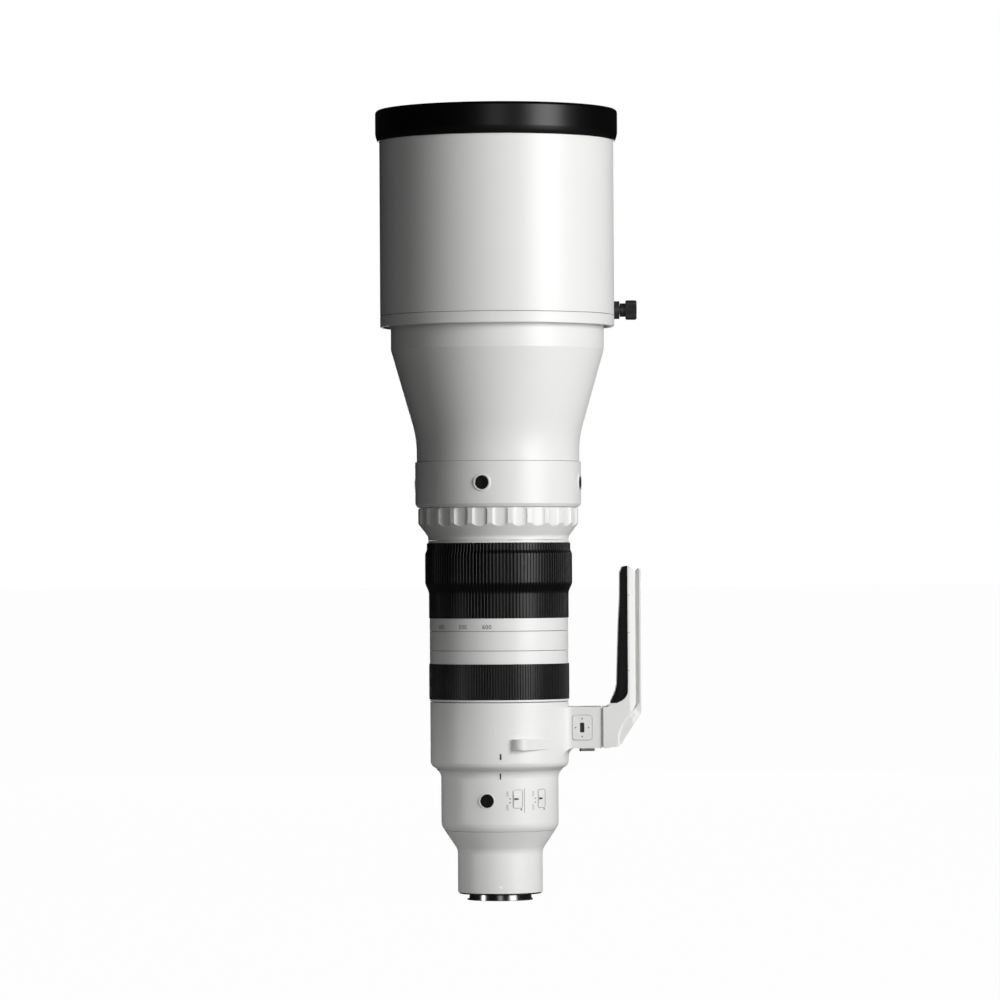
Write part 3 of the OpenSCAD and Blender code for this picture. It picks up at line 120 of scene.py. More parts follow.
# Shading: smooth within a surface and sharp at real edges, worked out round the axis
def polar_normals(mesh, limit=28):
    """Set each corner's normal to the mean of the faces there that turn less than the limit."""
    polys = len(mesh.polygons)
    loops = len(mesh.loops)
    centre = np.empty(polys * 3)
    mesh.polygons.foreach_get("center", centre)
    normal = np.empty(polys * 3)
    mesh.polygons.foreach_get("normal", normal)
    area = np.empty(polys)
    mesh.polygons.foreach_get("area", area)
    total = np.empty(polys, int)
    mesh.polygons.foreach_get("loop_total", total)
    vert = np.empty(loops, int)
    mesh.loops.foreach_get("vertex_index", vert)
    co = np.empty(len(mesh.vertices) * 3)
    mesh.vertices.foreach_get("co", co)
    co = co.reshape(-1, 3)
    centre = centre.reshape(-1, 3)
    normal = normal.reshape(-1, 3)

    def radial(points):
        r = np.hypot(points[:, 0], points[:, 1])
        r[r < 1e-9] = 1
        return points[:, :2] / r[:, None]

    out = radial(centre)
    local = np.stack([(normal[:, :2] * out).sum(1), normal[:, 1] * out[:, 0] - normal[:, 0] * out[:, 1],
                      normal[:, 2]], 1)
    face = np.repeat(np.arange(polys), total)
    order = np.argsort(vert, kind="stable")
    sorted_vert = vert[order]
    start = np.searchsorted(sorted_vert, sorted_vert, "left")
    count = np.searchsorted(sorted_vert, sorted_vert, "right") - start
    place = np.arange(loops) - start
    mine = face[order]
    result = np.zeros((loops, 3))
    edge = math.cos(rad(limit))
    for k in range(count.max()):
        use = k < count
        other = mine[start[use] + (place[use] + k) % count[use]]
        near = (local[mine[use]] * local[other]).sum(1) > edge
        result[use] += np.where(near, area[other], 0)[:, None] * local[other]
    at = radial(co[sorted_vert])
    pole = np.hypot(co[sorted_vert, 0], co[sorted_vert, 1]) < 1e-7
    at[pole] = out[mine[pole]]
    world = np.stack([result[:, 0] * at[:, 0] - result[:, 1] * at[:, 1],
                      result[:, 0] * at[:, 1] + result[:, 1] * at[:, 0], result[:, 2]], 1)
    world /= np.maximum(np.linalg.norm(world, axis=1), 1e-12)[:, None]
    split = np.empty((loops, 3))
    split[order] = world
    mesh.polygons.foreach_set("use_smooth", np.ones(polys, bool))
    mesh.normals_split_custom_set([tuple(v) for v in split])


def edge_normals(obj, limit=28):
    """The same for a piece that isn't turned about the axis."""
    obj.data.polygons.foreach_set("use_smooth", np.ones(len(obj.data.polygons), bool))
    obj.data.set_sharp_from_angle(angle=rad(limit))
    mod = obj.modifiers.new("weighted", "WEIGHTED_NORMAL")
    mod.keep_sharp = True


# Pieces
def piece(name, mesh, body, slot, replaces=(), mat=None):
    """Put a mesh into the scene on its body, in its slot and in place of the CAD's nodes."""
    obj = bpy.data.objects.new(name, mesh)
    bpy.context.scene.collection.objects.link(obj)
    mesh.materials.append(mat or M[slot])
    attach(obj, body)
    if replaces:
        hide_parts(*replaces)
    return obj


def raw_mesh(name, verts, faces, merge=True):
    """A mesh from points in mm, with its faces turned outwards."""
    mesh = bpy.data.meshes.new(name)
    mesh.from_pydata([tuple(c * MM for c in v) for v in verts], [], faces)
    bm = bmesh.new()
    bm.from_mesh(mesh)
    if merge:
        bmesh.ops.remove_doubles(bm, verts=bm.verts, dist=1e-7)
    bmesh.ops.recalc_face_normals(bm, faces=bm.faces)
    bm.to_mesh(mesh)
    bm.free()
    return mesh


def band(low, high, n):
    """The faces between two closed rows of n points."""
    return [(low * n + i, low * n + (i + 1) % n, high * n + (i + 1) % n, high * n + i) for i in range(n)]


def carve(mesh, cutters, operation="DIFFERENCE"):
    """Cut the cutters' meshes out of a mesh, or keep or join them."""
    base = bpy.data.objects.new("base", mesh)
    bpy.context.scene.collection.objects.link(base)
    tools = []
    for cutter in cutters:
        tool = bpy.data.objects.new("cutter", cutter)
        bpy.context.scene.collection.objects.link(tool)
        mod = base.modifiers.new("cut", "BOOLEAN")
        mod.operation = operation
        mod.object = tool
        mod.solver = "EXACT"
        tools.append(tool)
    shape = base.evaluated_get(bpy.context.evaluated_depsgraph_get())
    result = bpy.data.meshes.new_from_object(shape)
    for obj in tools + [base]:
        bpy.data.objects.remove(obj)
    return result


def arc(cx, cz, r, a, b, n):
    """Points on an arc round a centre, from angle a to angle b in n steps."""
    return [(cx + r * math.cos(rad(a + (b - a) * i / n)), cz + r * math.sin(rad(a + (b - a) * i / n)))
            for i in range(n + 1)]


def rounded(points, n=4):
    """A closed outline with a round at each corner that names a radius."""
    out = []
    for i, p in enumerate(points):
        f = p[2] if len(p) > 2 else 0
        if not f:
            out.append((p[0], p[1]))
            continue
        here = Vector(p[:2])
        to_a = (Vector(points[i - 1][:2]) - here)
        to_b = (Vector(points[(i + 1) % len(points)][:2]) - here)
        half = to_a.angle(to_b) / 2
        d = min(f / math.tan(half), to_a.length * 0.49, to_b.length * 0.49)
        r = d * math.tan(half)
        to_a.normalize()
        to_b.normalize()
        mid = here + (to_a + to_b).normalized() * (r / math.sin(half))
        va = here + to_a * d - mid
        vb = here + to_b * d - mid
        sweep = va.angle(vb)
        for k in range(n + 1):
            t = k / n
            v = (va * math.sin((1 - t) * sweep) + vb * math.sin(t * sweep)) / math.sin(sweep)
            out.append((mid.x + v.x, mid.y + v.y))
    return out


def turn(points, seg=SEG):
    """A closed outline of radius and height, turned about the axis."""
    outline = rounded(points)
    verts, faces = [], []
    n = len(outline)
    for i in range(seg):
        a = 2 * math.pi * i / seg
        verts += [(r * math.cos(a), r * math.sin(a), z) for r, z in outline]
    for i in range(seg):
        j = (i + 1) % seg
        faces += [(i * n + k, j * n + k, j * n + (k + 1) % n, i * n + (k + 1) % n) for k in range(n)]
    return raw_mesh("turned", verts, faces)


def lathe(name, points, body, slot, node=None, cutters=(), limit=28, mat=None):
    """A turned piece, with its cutters taken out of it."""
    mesh = turn(points)
    if cutters:
        mesh = carve(mesh, cutters)
    polar_normals(mesh, limit)
    return piece(name, mesh, body, slot, (node,) if node else (), mat)


def side_frame(angle, z=0):
    """Local X runs round the barrel to the right, Y along the axis and Z outwards, at an angle from -Y."""
    a = rad(angle)
    out = Vector((math.sin(a), -math.cos(a), 0))
    across = Vector((math.cos(a), math.sin(a), 0))
    m = Matrix.Identity(4)
    m.col[0][:3] = across
    m.col[1][:3] = (0, 0, 1)
    m.col[2][:3] = out
    m.translation = (0, 0, z * MM)
    return m


def spin(points, matrix, seg=64):
    """An outline of radius and distance, turned about the local Z of a frame."""
    mesh = turn(points, seg)
    polar_normals(mesh)
    mesh.transform(matrix)
    return mesh


def prism(points, low, high, matrix=Matrix.Identity(4)):
    """An outline pulled from low to high along the Z of a frame."""
    n = len(points)
    verts = [(x, y, low) for x, y in points] + [(x, y, high) for x, y in points]
    faces = [tuple(range(n)), tuple(range(2 * n - 1, n - 1, -1))]
    faces += [(i, (i + 1) % n, n + (i + 1) % n, n + i) for i in range(n)]
    mesh = raw_mesh("prism", verts, faces)
    mesh.transform(matrix)
    return mesh


def box_mesh(x0, x1, y0, y1, z0, z1, matrix=Matrix.Identity(4)):
    return prism([(x0, y0), (x1, y0), (x1, y1), (x0, y1)], z0, z1, matrix)


def soften(obj, width, segments=3):
    """Round a piece's edges."""
    mod = obj.modifiers.new("edges", "BEVEL")
    mod.width = width * MM
    mod.segments = segments
    mod.limit_method = "ANGLE"
    mod.angle_limit = rad(30)
    edge_normals(obj, 40)


def patch(name, angles, line, body, mat, slot):
    """A thin print on a turned surface between two angles, along a line of radius and height; below each
    switch frame it lays a painted shadow instead.
    """
    a0, a1 = angles
    n = 6
    verts, faces = [], []
    for i in range(n + 1):
        a = rad(a0 + (a1 - a0) * i / n)
        verts += [((r + PRINT) * math.sin(a), -(r + PRINT) * math.cos(a), z) for r, z in line]
    m = len(line)
    for i in range(n):
        faces += [(i * m + k, i * m + k + 1, (i + 1) * m + k + 1, (i + 1) * m + k) for k in range(m - 1)]
    mesh = bpy.data.meshes.new(name)
    mesh.from_pydata([tuple(c * MM for c in v) for v in verts], [], faces)
    mesh.polygons.foreach_set("use_smooth", np.ones(len(mesh.polygons), bool))
    return piece(name, mesh, body, slot, mat=mat)


def label(text, size, angle, z, r, body, mat, slot, turned=False):
    """Plain lettering, bent round the barrel."""
    curve = bpy.data.curves.new("label", "FONT")
    curve.body = text
    curve.size = size * MM
    curve.align_x = "CENTER"
    curve.align_y = "CENTER"
    curve.space_character = 1.1
    obj = bpy.data.objects.new("label", curve)
    bpy.context.scene.collection.objects.link(obj)
    flat = bpy.data.meshes.new_from_object(obj.evaluated_get(bpy.context.evaluated_depsgraph_get()))
    bpy.data.objects.remove(obj)
    for v in flat.vertices:
        x, y = (-v.co.y, v.co.x) if turned else (v.co.x, v.co.y)
        a = rad(angle) + x / (r * MM)
        v.co = ((r + PRINT) * MM * math.sin(a), -(r + PRINT) * MM * math.cos(a), z * MM + y)
    return piece("label_" + text, flat, body, slot, mat=mat)


# Heights of the seams above the flange face, as in the CAD, and the gap beside a seam
REAR, COLLAR, FOCUS, INDEX, ZOOM = 49.7, 97.4, 150.8, 190.8, 206.1
FUNCTION, BUTTON, FRONT, RIM, HOOD = 277.0, 302.7, 338.7, 467.0, 444.5
GAP = 0.15

# Tail barrel and rear barrel
CONE, CONE_BEND = 33.66, 10
TAIL_R, REAR_R = 33.3, 46.05
NECK_ARC = arc(TAIL_R + CONE_BEND, 31.4, CONE_BEND, 180, 180 - CONE, 14)
BODY_ARC = arc(REAR_R - CONE_BEND, 56.6, CONE_BEND, -CONE, 0, 14)
CONE_AT_SEAM, JOINT_R = 43.47, 40.9
window = box_mesh(-23.9, 23.9, 15, 45, 7.2, 16.4)
SEAL_R, SEAL_TOP = 30.05, 1.1
lathe("tail_shell", [(24.4, 2), (SEAL_R, 2), (SEAL_R, SEAL_TOP), (TAIL_R, SEAL_TOP, 0.5)] + NECK_ARC
      + [(CONE_AT_SEAM, REAR - GAP, 0.15), (CONE_AT_SEAM - 2.5, REAR - GAP), (31, 36.6), (31, 19.2),
         (28, 19.2), (28, 17.2), (31, 17.2), (31, 6), (24.4, 6)],
      "barrel", "white_paint", "tail_barrel", [window])
lathe("tail_seam", [(JOINT_R, REAR - 0.2), (CONE_AT_SEAM - 0.35, REAR - 0.2),
      (CONE_AT_SEAM - 0.25, REAR + 0.2), (JOINT_R, REAR + 0.2)], "barrel", "white_paint", mat=SHADOW)
lathe("seal_ring", [(SEAL_R, 0), (32.2, 0, 0.2), (32.2, SEAL_TOP, 0.1), (SEAL_R, SEAL_TOP)], "barrel",
      "black_rubber", "mount_seal")
dot = spin([(0, 32.6), (1.3, 32.6), (1.3, 33.45, 0.25), (0, 33.5)], side_frame(0, 5.7), 32)
piece("mount_dot", dot, "barrel", "white_plastic", mat=DOT)

# Switches and the round button: heights, angles and the switches' slot (width, length and corner)
SWITCH_Z, ROUND_Z, ROUND_ANGLE = 75.5, 74.0, -12.6
SLOT_W, SLOT_L, SLOT_CORNER = 7.2, 13.9, 1.1
CAP_R, CAP_HOLE = 5.2, 5.45
SWITCHES = {"right_switch_1": 17.7, "right_switch_2": 44.8, "left_switch_1": 150, "left_switch_2": 178,
            "left_switch_3": 206}


def rounded_box(w, h, r, n=5):
    """The outline of a box with round corners, round the origin."""
    return rounded([(-w / 2, -h / 2, r), (w / 2, -h / 2, r), (w / 2, h / 2, r), (-w / 2, h / 2, r)], n)


holes = [spin([(0, 38), (5.4, 38), (5.4, 50), (0, 50)], side_frame(ROUND_ANGLE, ROUND_Z), 72)]
for angle in SWITCHES.values():
    holes.append(prism(rounded_box(SLOT_W, SLOT_L, SLOT_CORNER), 44.75, 52, side_frame(angle, SWITCH_Z)))
    holes.append(box_mesh(-0.9, 0.9, -4, 4, 40, 46, side_frame(angle, SWITCH_Z)))
SHOULDER_BEND, BEARING_R, INNER_R = 8, 47.6, 45.55
SHOULDER = arc(REAR_R + SHOULDER_BEND, COLLAR - 6.7, SHOULDER_BEND, 180, 180 - 56.88, 14)
lathe("rear_shell", [(JOINT_R, REAR + GAP), (CONE_AT_SEAM + 0.1, REAR + GAP, 0.15)] + BODY_ARC + SHOULDER
      + [(BEARING_R, COLLAR), (BEARING_R, FOCUS - 0.3), (INNER_R, FOCUS - 0.3), (INNER_R, COLLAR + 1.4),
         (43.5, COLLAR + 1.4), (43.5, REAR + 3.3), (JOINT_R, REAR + 3.3)],
      "barrel", "white_paint", "rear_barrel", holes)
place = side_frame(ROUND_ANGLE, ROUND_Z)
rim = spin([(CAP_HOLE, 44.5), (6.3, 44.5), (6.3, 46.5, 0.2), (CAP_HOLE, 46.5, 0.2)], place, 72)
piece("button_rim", rim, "barrel", "white_paint")
cap = spin([(0, 43.75), (CAP_R, 43.75), (CAP_R, 46.3, 0.3), (3.6, 46.3, 1.0), (0, 46.0)], place, 72)
piece("round_button_cap", cap, "round_button", "button_plastic", ("round_button",))

# A switch's frame and knob: width, length and corner, then the radius at which each part ends
FRAME_BOX, KNOB_BOX = (8.3, 15.0, 1.6), (6.4, 7.2, 0.5)
SLOT_FLOOR, BED_TOP, FRAME_TOP, LINE_TOP, KNOB_TOP = 44.9, 46.2, 46.28, 46.32, 46.6
KNOB_MARK = [(-3.15, -0.75), (-1.2, -0.75), (0.6, -0.45), (0.6, 0.45), (-1.2, 0.75), (-3.15, 0.75)]

for name, angle in SWITCHES.items():
    place = side_frame(angle, SWITCH_Z)
    frame_mesh = carve(prism(rounded_box(*FRAME_BOX), SLOT_FLOOR, FRAME_TOP, place),
                       [prism(rounded_box(SLOT_W, SLOT_L, SLOT_CORNER), 44, 47, place)])
    rim = piece(name + "_frame", frame_mesh, "barrel", "white_paint")
    soften(rim, 0.18)
    bed = prism(rounded_box(SLOT_W + 0.1, SLOT_L + 0.1, SLOT_CORNER), SLOT_FLOOR, BED_TOP, place)
    piece(name + "_bed", bed, "barrel", "white_paint")
    knob = prism(rounded_box(*KNOB_BOX), SLOT_FLOOR - 0.05, KNOB_TOP, place)
    soften(piece(name + "_knob", knob, name, "white_plastic", (name,)), 0.12, 2)
    mark = prism(KNOB_MARK, KNOB_TOP - 0.05, KNOB_TOP + 0.04, place)
    piece(name + "_mark", mark, name, "white_plastic", mat=INK_AND_HOLE_SHADE)
    # The thin grey ring round the recess is painted shade on the recess edge.
    line = carve(prism(rounded_box(SLOT_W + 0.8, SLOT_L + 0.7, 1.9), 46.0, LINE_TOP, place),
                 [prism(rounded_box(SLOT_W, SLOT_L, 1.3), 45, 47, place)])
    piece(name + "_line", line, "barrel", "white_paint", mat=GREY_INK_AND_RECESS_SHADE)
    # A small dark patch below the frame's lower right corner is painted shadow in the gap there.
    patch(name + "_gap_shadow", (angle + 2.6, angle + 4.4), [(REAR_R, SWITCH_Z - 8.9), (REAR_R, SWITCH_Z - 7.4)],
          "barrel", GREY_INK_AND_RECESS_SHADE, "white_paint")
    for text, z in (("ON", 3.9), ("OFF", -6.5)):
        label(text, 2.5, angle - 10.3, SWITCH_Z + z, REAR_R, "barrel", GREY_INK_AND_RECESS_SHADE, "white_paint", turned=True)
    for z in (SWITCH_Z + 0.2, SWITCH_Z - 2.8):
        patch(name + "_dot", (angle - 8.6, angle - 7.3), [(REAR_R, z - 0.5), (REAR_R, z + 0.5)],
              "barrel", GREY_INK_AND_RECESS_SHADE, "white_paint")
patch("divider", (24.0, 24.9), [(REAR_R, SWITCH_Z - 11), (REAR_R, SWITCH_Z + 8.2)], "barrel", PALE_INK,
      "white_paint")
shoulder_line = [(r, z) for r, z in SHOULDER if z < 95.8]
patch("index_mark_low", (-0.1, 1.3), shoulder_line, "barrel", INK_AND_HOLE_SHADE, "white_paint")

# Bayonet with its three lugs and the screws' holes
TUBE_R, TUBE_NECK, TUBE_IN, TUBE_LOW, PLATE_R = 24.6, 24.25, 22.8, -5, 30
TAB_R, TAB_LOW, TAB_HIGH, TAB_START, TAB_ANGLE = 26, -4.95, -3.4, 65, 42
SCREW_CIRCLE = 27.2


def round_point(a, r):
    """A point at an angle from the foot's side."""
    return (r * math.cos(rad(a)), r * math.sin(rad(a)))


lugs = []
for i in range(3):
    pts = [(0, 0)] + [round_point(TAB_START + 120 * i + a, TAB_R) for a in np.linspace(0, TAB_ANGLE, 25)]
    lugs.append(prism(pts, TAB_LOW, TAB_HIGH))
lug_tool = turn([(24.5, -6), (26.2, -6), (26.2, 0), (24.5, 0)])
screw_holes = []
for i in range(4):
    x, y = round_point(45 + 90 * i, SCREW_CIRCLE)
    screw_holes.append(spin([(0, -1), (1.65, -1), (1.65, 1), (0, 1)],
                            Matrix.Translation((x * MM, y * MM, 0)), 32))
lathe("bayonet_tube", [(TUBE_IN, TUBE_LOW, 0.2), (TUBE_R, TUBE_LOW, 0.3), (TUBE_NECK, 0), (PLATE_R, 0, 0.3),
      (PLATE_R, 2), (TUBE_IN, 2)], "barrel", "chrome", "bayonet", screw_holes)
for i, lug in enumerate(lugs):
    tab = piece(f"bayonet_lug_{i + 1}", carve(lug, [lug_tool.copy()], "INTERSECT"), "barrel", "chrome")
    soften(tab, 0.15, 2)

# Tripod collar with its arm
COLLAR_R, COLLAR_IN, COLLAR_BEND = 54.3, 47.9, 6
collar_low = arc(COLLAR_R - COLLAR_BEND, COLLAR + 6.76, COLLAR_BEND, -48, 0, 12)
lathe("collar_shell", [(COLLAR_IN, COLLAR + 0.35), (49.4, COLLAR + 0.35, 0.3)] + collar_low
      + [(COLLAR_R, FOCUS - 0.4, 0.35), (COLLAR_IN, FOCUS - 0.4)],
      "collar", "white_paint", "collar_ring")
patch("index_mark_high", (0.0, 1.45), [(COLLAR_R, 106.3), (COLLAR_R, 110.9)], "collar", INK_AND_HOLE_SHADE, "white_paint")

ARM_HALF, BEND = 19.0, 10.0
ARM_LOW, ARM_HIGH, ARM_END = 113.8, 146.1, 79.9
ON_COLLAR = COLLAR_R - 0.02
bend_x = math.sqrt((ON_COLLAR + BEND) ** 2 - (ARM_HALF + BEND) ** 2)
bend_a = 180 - math.degrees(math.atan2(ARM_HALF + BEND, bend_x))
side = [(49.5, -15)] + arc(bend_x, -ARM_HALF - BEND, BEND, bend_a, 90, 20) + [
    (ARM_END - 0.5, -ARM_HALF), (ARM_END - 0.15, -ARM_HALF + 0.15), (ARM_END, -ARM_HALF + 0.5)]
plan = side + [(x, -y) for x, y in reversed(side)]
FILLET = 6.2
web_low = ARM_LOW - FILLET
web = turn([(COLLAR_R - 3, ARM_LOW + 1), (COLLAR_R - 3, web_low), (ON_COLLAR, web_low)]
           + arc(COLLAR_R + FILLET, web_low, FILLET, 180, 90, 14)[1:] + [(COLLAR_R + FILLET, ARM_LOW + 1)])
web = carve(web, [prism(plan, 100, 140)], "INTERSECT")
arm = carve(prism(plan, ARM_LOW, ARM_HIGH), [web], "UNION")
click_pocket = box_mesh(61.3, 76.3, -4.3, 4.3, ARM_LOW - 1, ARM_LOW + 2.4)
PLATE_X, PLATE_Z, PLATE_FACE = 64.6, 130.05, 19.27


def on_arm(x, y, z):
    """A frame on the arm's face towards the camera, with its Z pointing out of that face."""
    return Matrix.Translation((x * MM, y * MM, z * MM)) @ Matrix.Rotation(rad(90), 4, "X")


def plate_shape(w, h, r, low, high):
    """A box with round corners where the plate is, between two distances from the axis."""
    return prism(rounded_box(w, h, r, 6), low, high, on_arm(PLATE_X, 0, PLATE_Z))


arm = carve(arm, [plate_shape(16.1, 20.1, 3.1, 16.5, 22), click_pocket])
soften(piece("collar_arm", arm, "collar", "white_paint"), 0.45)
plate = carve(plate_shape(15.5, 19.5, 2.8, 16.5, 19.3), [plate_shape(3.4, 7.6, 0.8, 10, 25)])
soften(piece("security_cover", plate, "collar", "white_paint", ("security_plate",)), 0.35)
# The dark slab in the slot is painted shade standing in for the hole's depth.
piece("security_hole_shade", plate_shape(3.6, 7.8, 0.9, 16.3, 16.8), "collar", "white_paint", mat=INK_AND_HOLE_SHADE)
for dx, dz in ((0, 6.9), (0, -6.9), (-5.1, 0), (5.1, 0)):
    place = on_arm(PLATE_X + dx, -PLATE_FACE, PLATE_Z + dz)
    head = spin([(0, 0), (1.15, 0), (1.15, 0.14, 0.05), (0, 0.14)], place, 24)
    piece("plate_screw", head, "collar", "white_paint")
    hole = spin([(0, 0), (0.62, 0), (0.62, 0.17), (0, 0.17)], place, 6)
    piece("plate_screw_socket", hole, "collar", "white_paint", mat=SHADOW)

slider = piece("click_slider", box_mesh(62.9, 74.7, -3.9, 3.9, 111.1, 113.45), "click_switch", "grey_plastic",
               ("click_switch",))
soften(slider, 0.5)
piece("click_slider_stem", box_mesh(64, 73.6, -3.6, 3.6, 113.0, 115.8), "click_switch", "grey_plastic")
slider_end = box_mesh(62.7, 64.0, -4, 4, 111.0, 113.5)
soften(piece("click_slider_end", slider_end, "click_switch", "black_plastic"), 0.4)


# Strap lugs
def on_circle(a, r):
    """A point at an angle from the camera's side."""
    return (r * math.sin(rad(a)), -r * math.cos(rad(a)))


# Angles where the bar and its slot begin, the round at the bar's end and its distance from the start
LUG_START, LUG_SLOT, LUG_END_R, LUG_REACH = 47, 19.5, 6.5, 27.36
LUG_LOW, LUG_HIGH = 113.6, 122.2
corner_r = COLLAR_R / math.cos(rad(LUG_START - LUG_SLOT))
start_point = on_circle(LUG_START, COLLAR_R - LUG_END_R)
end = [a + b for a, b in zip(start_point, on_circle(LUG_START - 90, LUG_REACH))]
for sign in (1, -1):
    bar = [on_circle(LUG_START, COLLAR_R)] + arc(*end, LUG_END_R, LUG_START - 90, -180, 16) + [
        on_circle(11, COLLAR_R - 3), on_circle(25, COLLAR_R - 4), on_circle(39, COLLAR_R - 4)]
    gap = [on_circle(LUG_START, COLLAR_R - 2.6), on_circle(LUG_SLOT, corner_r - 2.6),
           on_circle(LUG_SLOT, COLLAR_R - 4), on_circle(30, COLLAR_R - 5), on_circle(45, COLLAR_R - 5)]
    flip = [(x, y * sign) for x, y in bar]
    lug = carve(prism(flip, LUG_LOW, LUG_HIGH),
                [prism([(x, y * sign) for x, y in gap], LUG_LOW - 2, LUG_HIGH + 2)])
    soften(piece("strap_lug", lug, "collar", "white_paint", ("strap_lugs",) if sign == 1 else ()), 0.4)


# Foot with its grip pad
FOOT_LOW, FOOT_TOP, FOOT_X, FOOT_R = 113.6, 256.4, 81.1, 111.1
FOOT_END, FOOT_HALF, RAIL_HALF = 254.2, 21.2, 19
slope_low, slope_high = (FOOT_R - 17.1, 115.2), (FOOT_R - 0.3, 141.1)
PAD_X, PAD_LOW = FOOT_R - 10.4, 149.0
pad_curve = [(PAD_X - 13.2, PAD_LOW), (PAD_X - 8.5, PAD_LOW + 0.1)]
pad_curve += arc(PAD_X - 9.4, 159.2, 9.4, -70, -8, 10) + [(PAD_X, 163.8), (PAD_X, FOOT_TOP)]
side_view = [(FOOT_X, FOOT_LOW, 0.8), (*slope_low, 6), (*slope_high, 0.8), (FOOT_R, 143.1),
             (FOOT_R, FOOT_END, 0.5), (FOOT_R - 1.4, FOOT_END, 0.3), (FOOT_R - 4.3, 251.4, 0.4),
             (FOOT_R - 9.9, FOOT_TOP, 1.2)] + pad_curve[:0:-1]
side_view += [(PAD_X - 13.2, PAD_LOW, 3), (86.3, 147.3, 2), (84.2, 146.0, 2), (FOOT_X, 145.8, 0.6)]
foot_body = [(FOOT_X, -FOOT_HALF, 0.3), (FOOT_R - 9.0, -FOOT_HALF, 0.6)]
foot_edge = [(FOOT_R - 1.4, -RAIL_HALF, 0.3), (FOOT_R, -RAIL_HALF, 0.4)]


def foot_plan(half):
    """A prism along the foot, from half of its outline."""
    half = [(*p, 0)[:3] for p in half]
    return prism(rounded(half + [(x, -y, r) for x, y, r in reversed(half)]), 100, 270)


def upright(points, half=30):
    """A prism across the foot, from an outline of reach and height."""
    return prism(points, -half, half, Matrix.Rotation(rad(90), 4, "X"))


def across_foot(x, y, z):
    """A frame in the foot whose Z points away from the barrel."""
    return Matrix.Translation((x * MM, y * MM, z * MM)) @ Matrix.Rotation(rad(90), 4, "Y")


# The foot's full width ends at a crease, and the dovetail's width goes on below it to the slope
BEVEL_WIDTH, BEVEL_BACK, BEVEL_UP = 10, 11, 6
crease = [(FOOT_R + 2, 152.9), (FOOT_R - 4.3, 146.1), (103.6, 141.9), (97.0, 132.3), (94.6, 127),
          (93.7, 122.0), (93.3, 112)]
below = rounded([(x, z, 2 if 93.4 < x < 100 else 0) for x, z in crease]) + [(FOOT_R + 2, 112)]
body = upright(rounded(side_view, 5))
foot = carve(body.copy(), [foot_plan(foot_body + [(FOOT_R - 4.3, -16.2, 0.5)] + foot_edge)], "INTERSECT")
block = carve(body, [upright(below, RAIL_HALF)], "INTERSECT")
bevels = []
for sign in (1, -1):
    over = upright(below, BEVEL_WIDTH)
    for vert in over.vertices:
        if vert.co.y * sign > 0:
            vert.co.x -= BEVEL_BACK * MM
            vert.co.z += BEVEL_UP * MM
    over.transform(Matrix.Translation((0, (RAIL_HALF + BEVEL_WIDTH) * sign * MM, 0)))
    bevels.append(over)
foot = carve(carve(foot, bevels), [block], "UNION")
# Radius and height of the tripod threads, then the four holes through which the foot is screwed on
THREADS = ((3.175, 193.1), (4.76, 213.1))
SCREW_X, SCREW_R, SCREW_Z, SCREW_DY, SCREW_DZ = 87.1, 4.3, 129.95, 10, 8.5
bores = [spin([(0, 0), (r, 0), (r, 9), (0, 9)], across_foot(FOOT_R - 7.5, 0, z), 48) for r, z in THREADS]
for y in (-SCREW_DY, SCREW_DY):
    for z in (SCREW_Z - SCREW_DZ, SCREW_Z + SCREW_DZ):
        bore = [(0, 0), (SCREW_R, 0), (SCREW_R, 40), (0, 40)]
        bores.append(spin(bore, across_foot(SCREW_X, y, z), 48))
foot = carve(foot, bores)
soften(piece("foot_body", foot, "collar", "white_paint", ("foot",)), 0.3, 2)
piece("foot_spacer", box_mesh(79.5, 82, -18.4, 18.4, 115, 145), "collar", "white_paint")
for z in (233.5, 204.0, 174.7):
    tick = box_mesh(FOOT_R - 10.3, FOOT_R - 9.1, -FOOT_HALF - 0.06, -FOOT_HALF + 0.05, z - 0.25, z + 0.25)
    piece("foot_tick", tick, "collar", "white_paint", mat=GREY_INK_AND_RECESS_SHADE)

pad_back = ((1.0, FOOT_TOP), (4.0, 255.6), (5.8, 251.4), (6.0, 231.6), (7.1, 211.1), (8.1, 182.8),
            (8.6, 164), (9.6, 159), (11.4, 154.6), (13.6, 150))
pad_side = pad_curve + [(PAD_X - dx, z) for dx, z in pad_back]
pad_half = [(-0.7, 18.5, 0), (1.8, 18.5, 0), (7.2, 17.4, 3), (9.7, 13.5, 3), (14.2, 9.0, 2), (16.2, 8, 0)]
pad_top = rounded([(PAD_X - dx, -y, r) for dx, y, r in pad_half]
                  + [(PAD_X - dx, y, r) for dx, y, r in reversed(pad_half)], 6)
pad = carve(upright(rounded(pad_side), 24), [prism(pad_top, 140, 270)], "INTERSECT")
soften(piece("foot_grip", pad, "collar", "grip_pad", ("foot_pad",)), 0.7)


# Knobs
def knob_mesh(r, length, matrix, flutes=36, depth=0.35, chamfer=0.8):
    """A knob with fine flutes and a shallow hollow in its end."""
    per = 6
    ring = []
    for i in range(flutes * per):
        t = i % per / per
        ring.append(1 - (depth / r) * (0.5 - 0.5 * math.cos(2 * math.pi * t)) ** 2)
    rows = [(0, 0), (r - chamfer, 0), (r, chamfer), (r, length - chamfer), (r - chamfer, length),
            (r - 2.2, length), (r - 2.6, length - 0.5), (0, length - 0.5)]
    verts, faces = [], []
    n = flutes * per
    for rr, z in rows:
        for i in range(n):
            a = 2 * math.pi * i / n
            f = ring[i] if rr > r - chamfer - 0.01 else 1
            verts.append((rr * f * math.cos(a), rr * f * math.sin(a), z))
    for k in range(len(rows) - 1):
        faces += band(k, k + 1, n)
    mesh = raw_mesh("knob", verts, faces)
    mesh.transform(matrix)
    return mesh


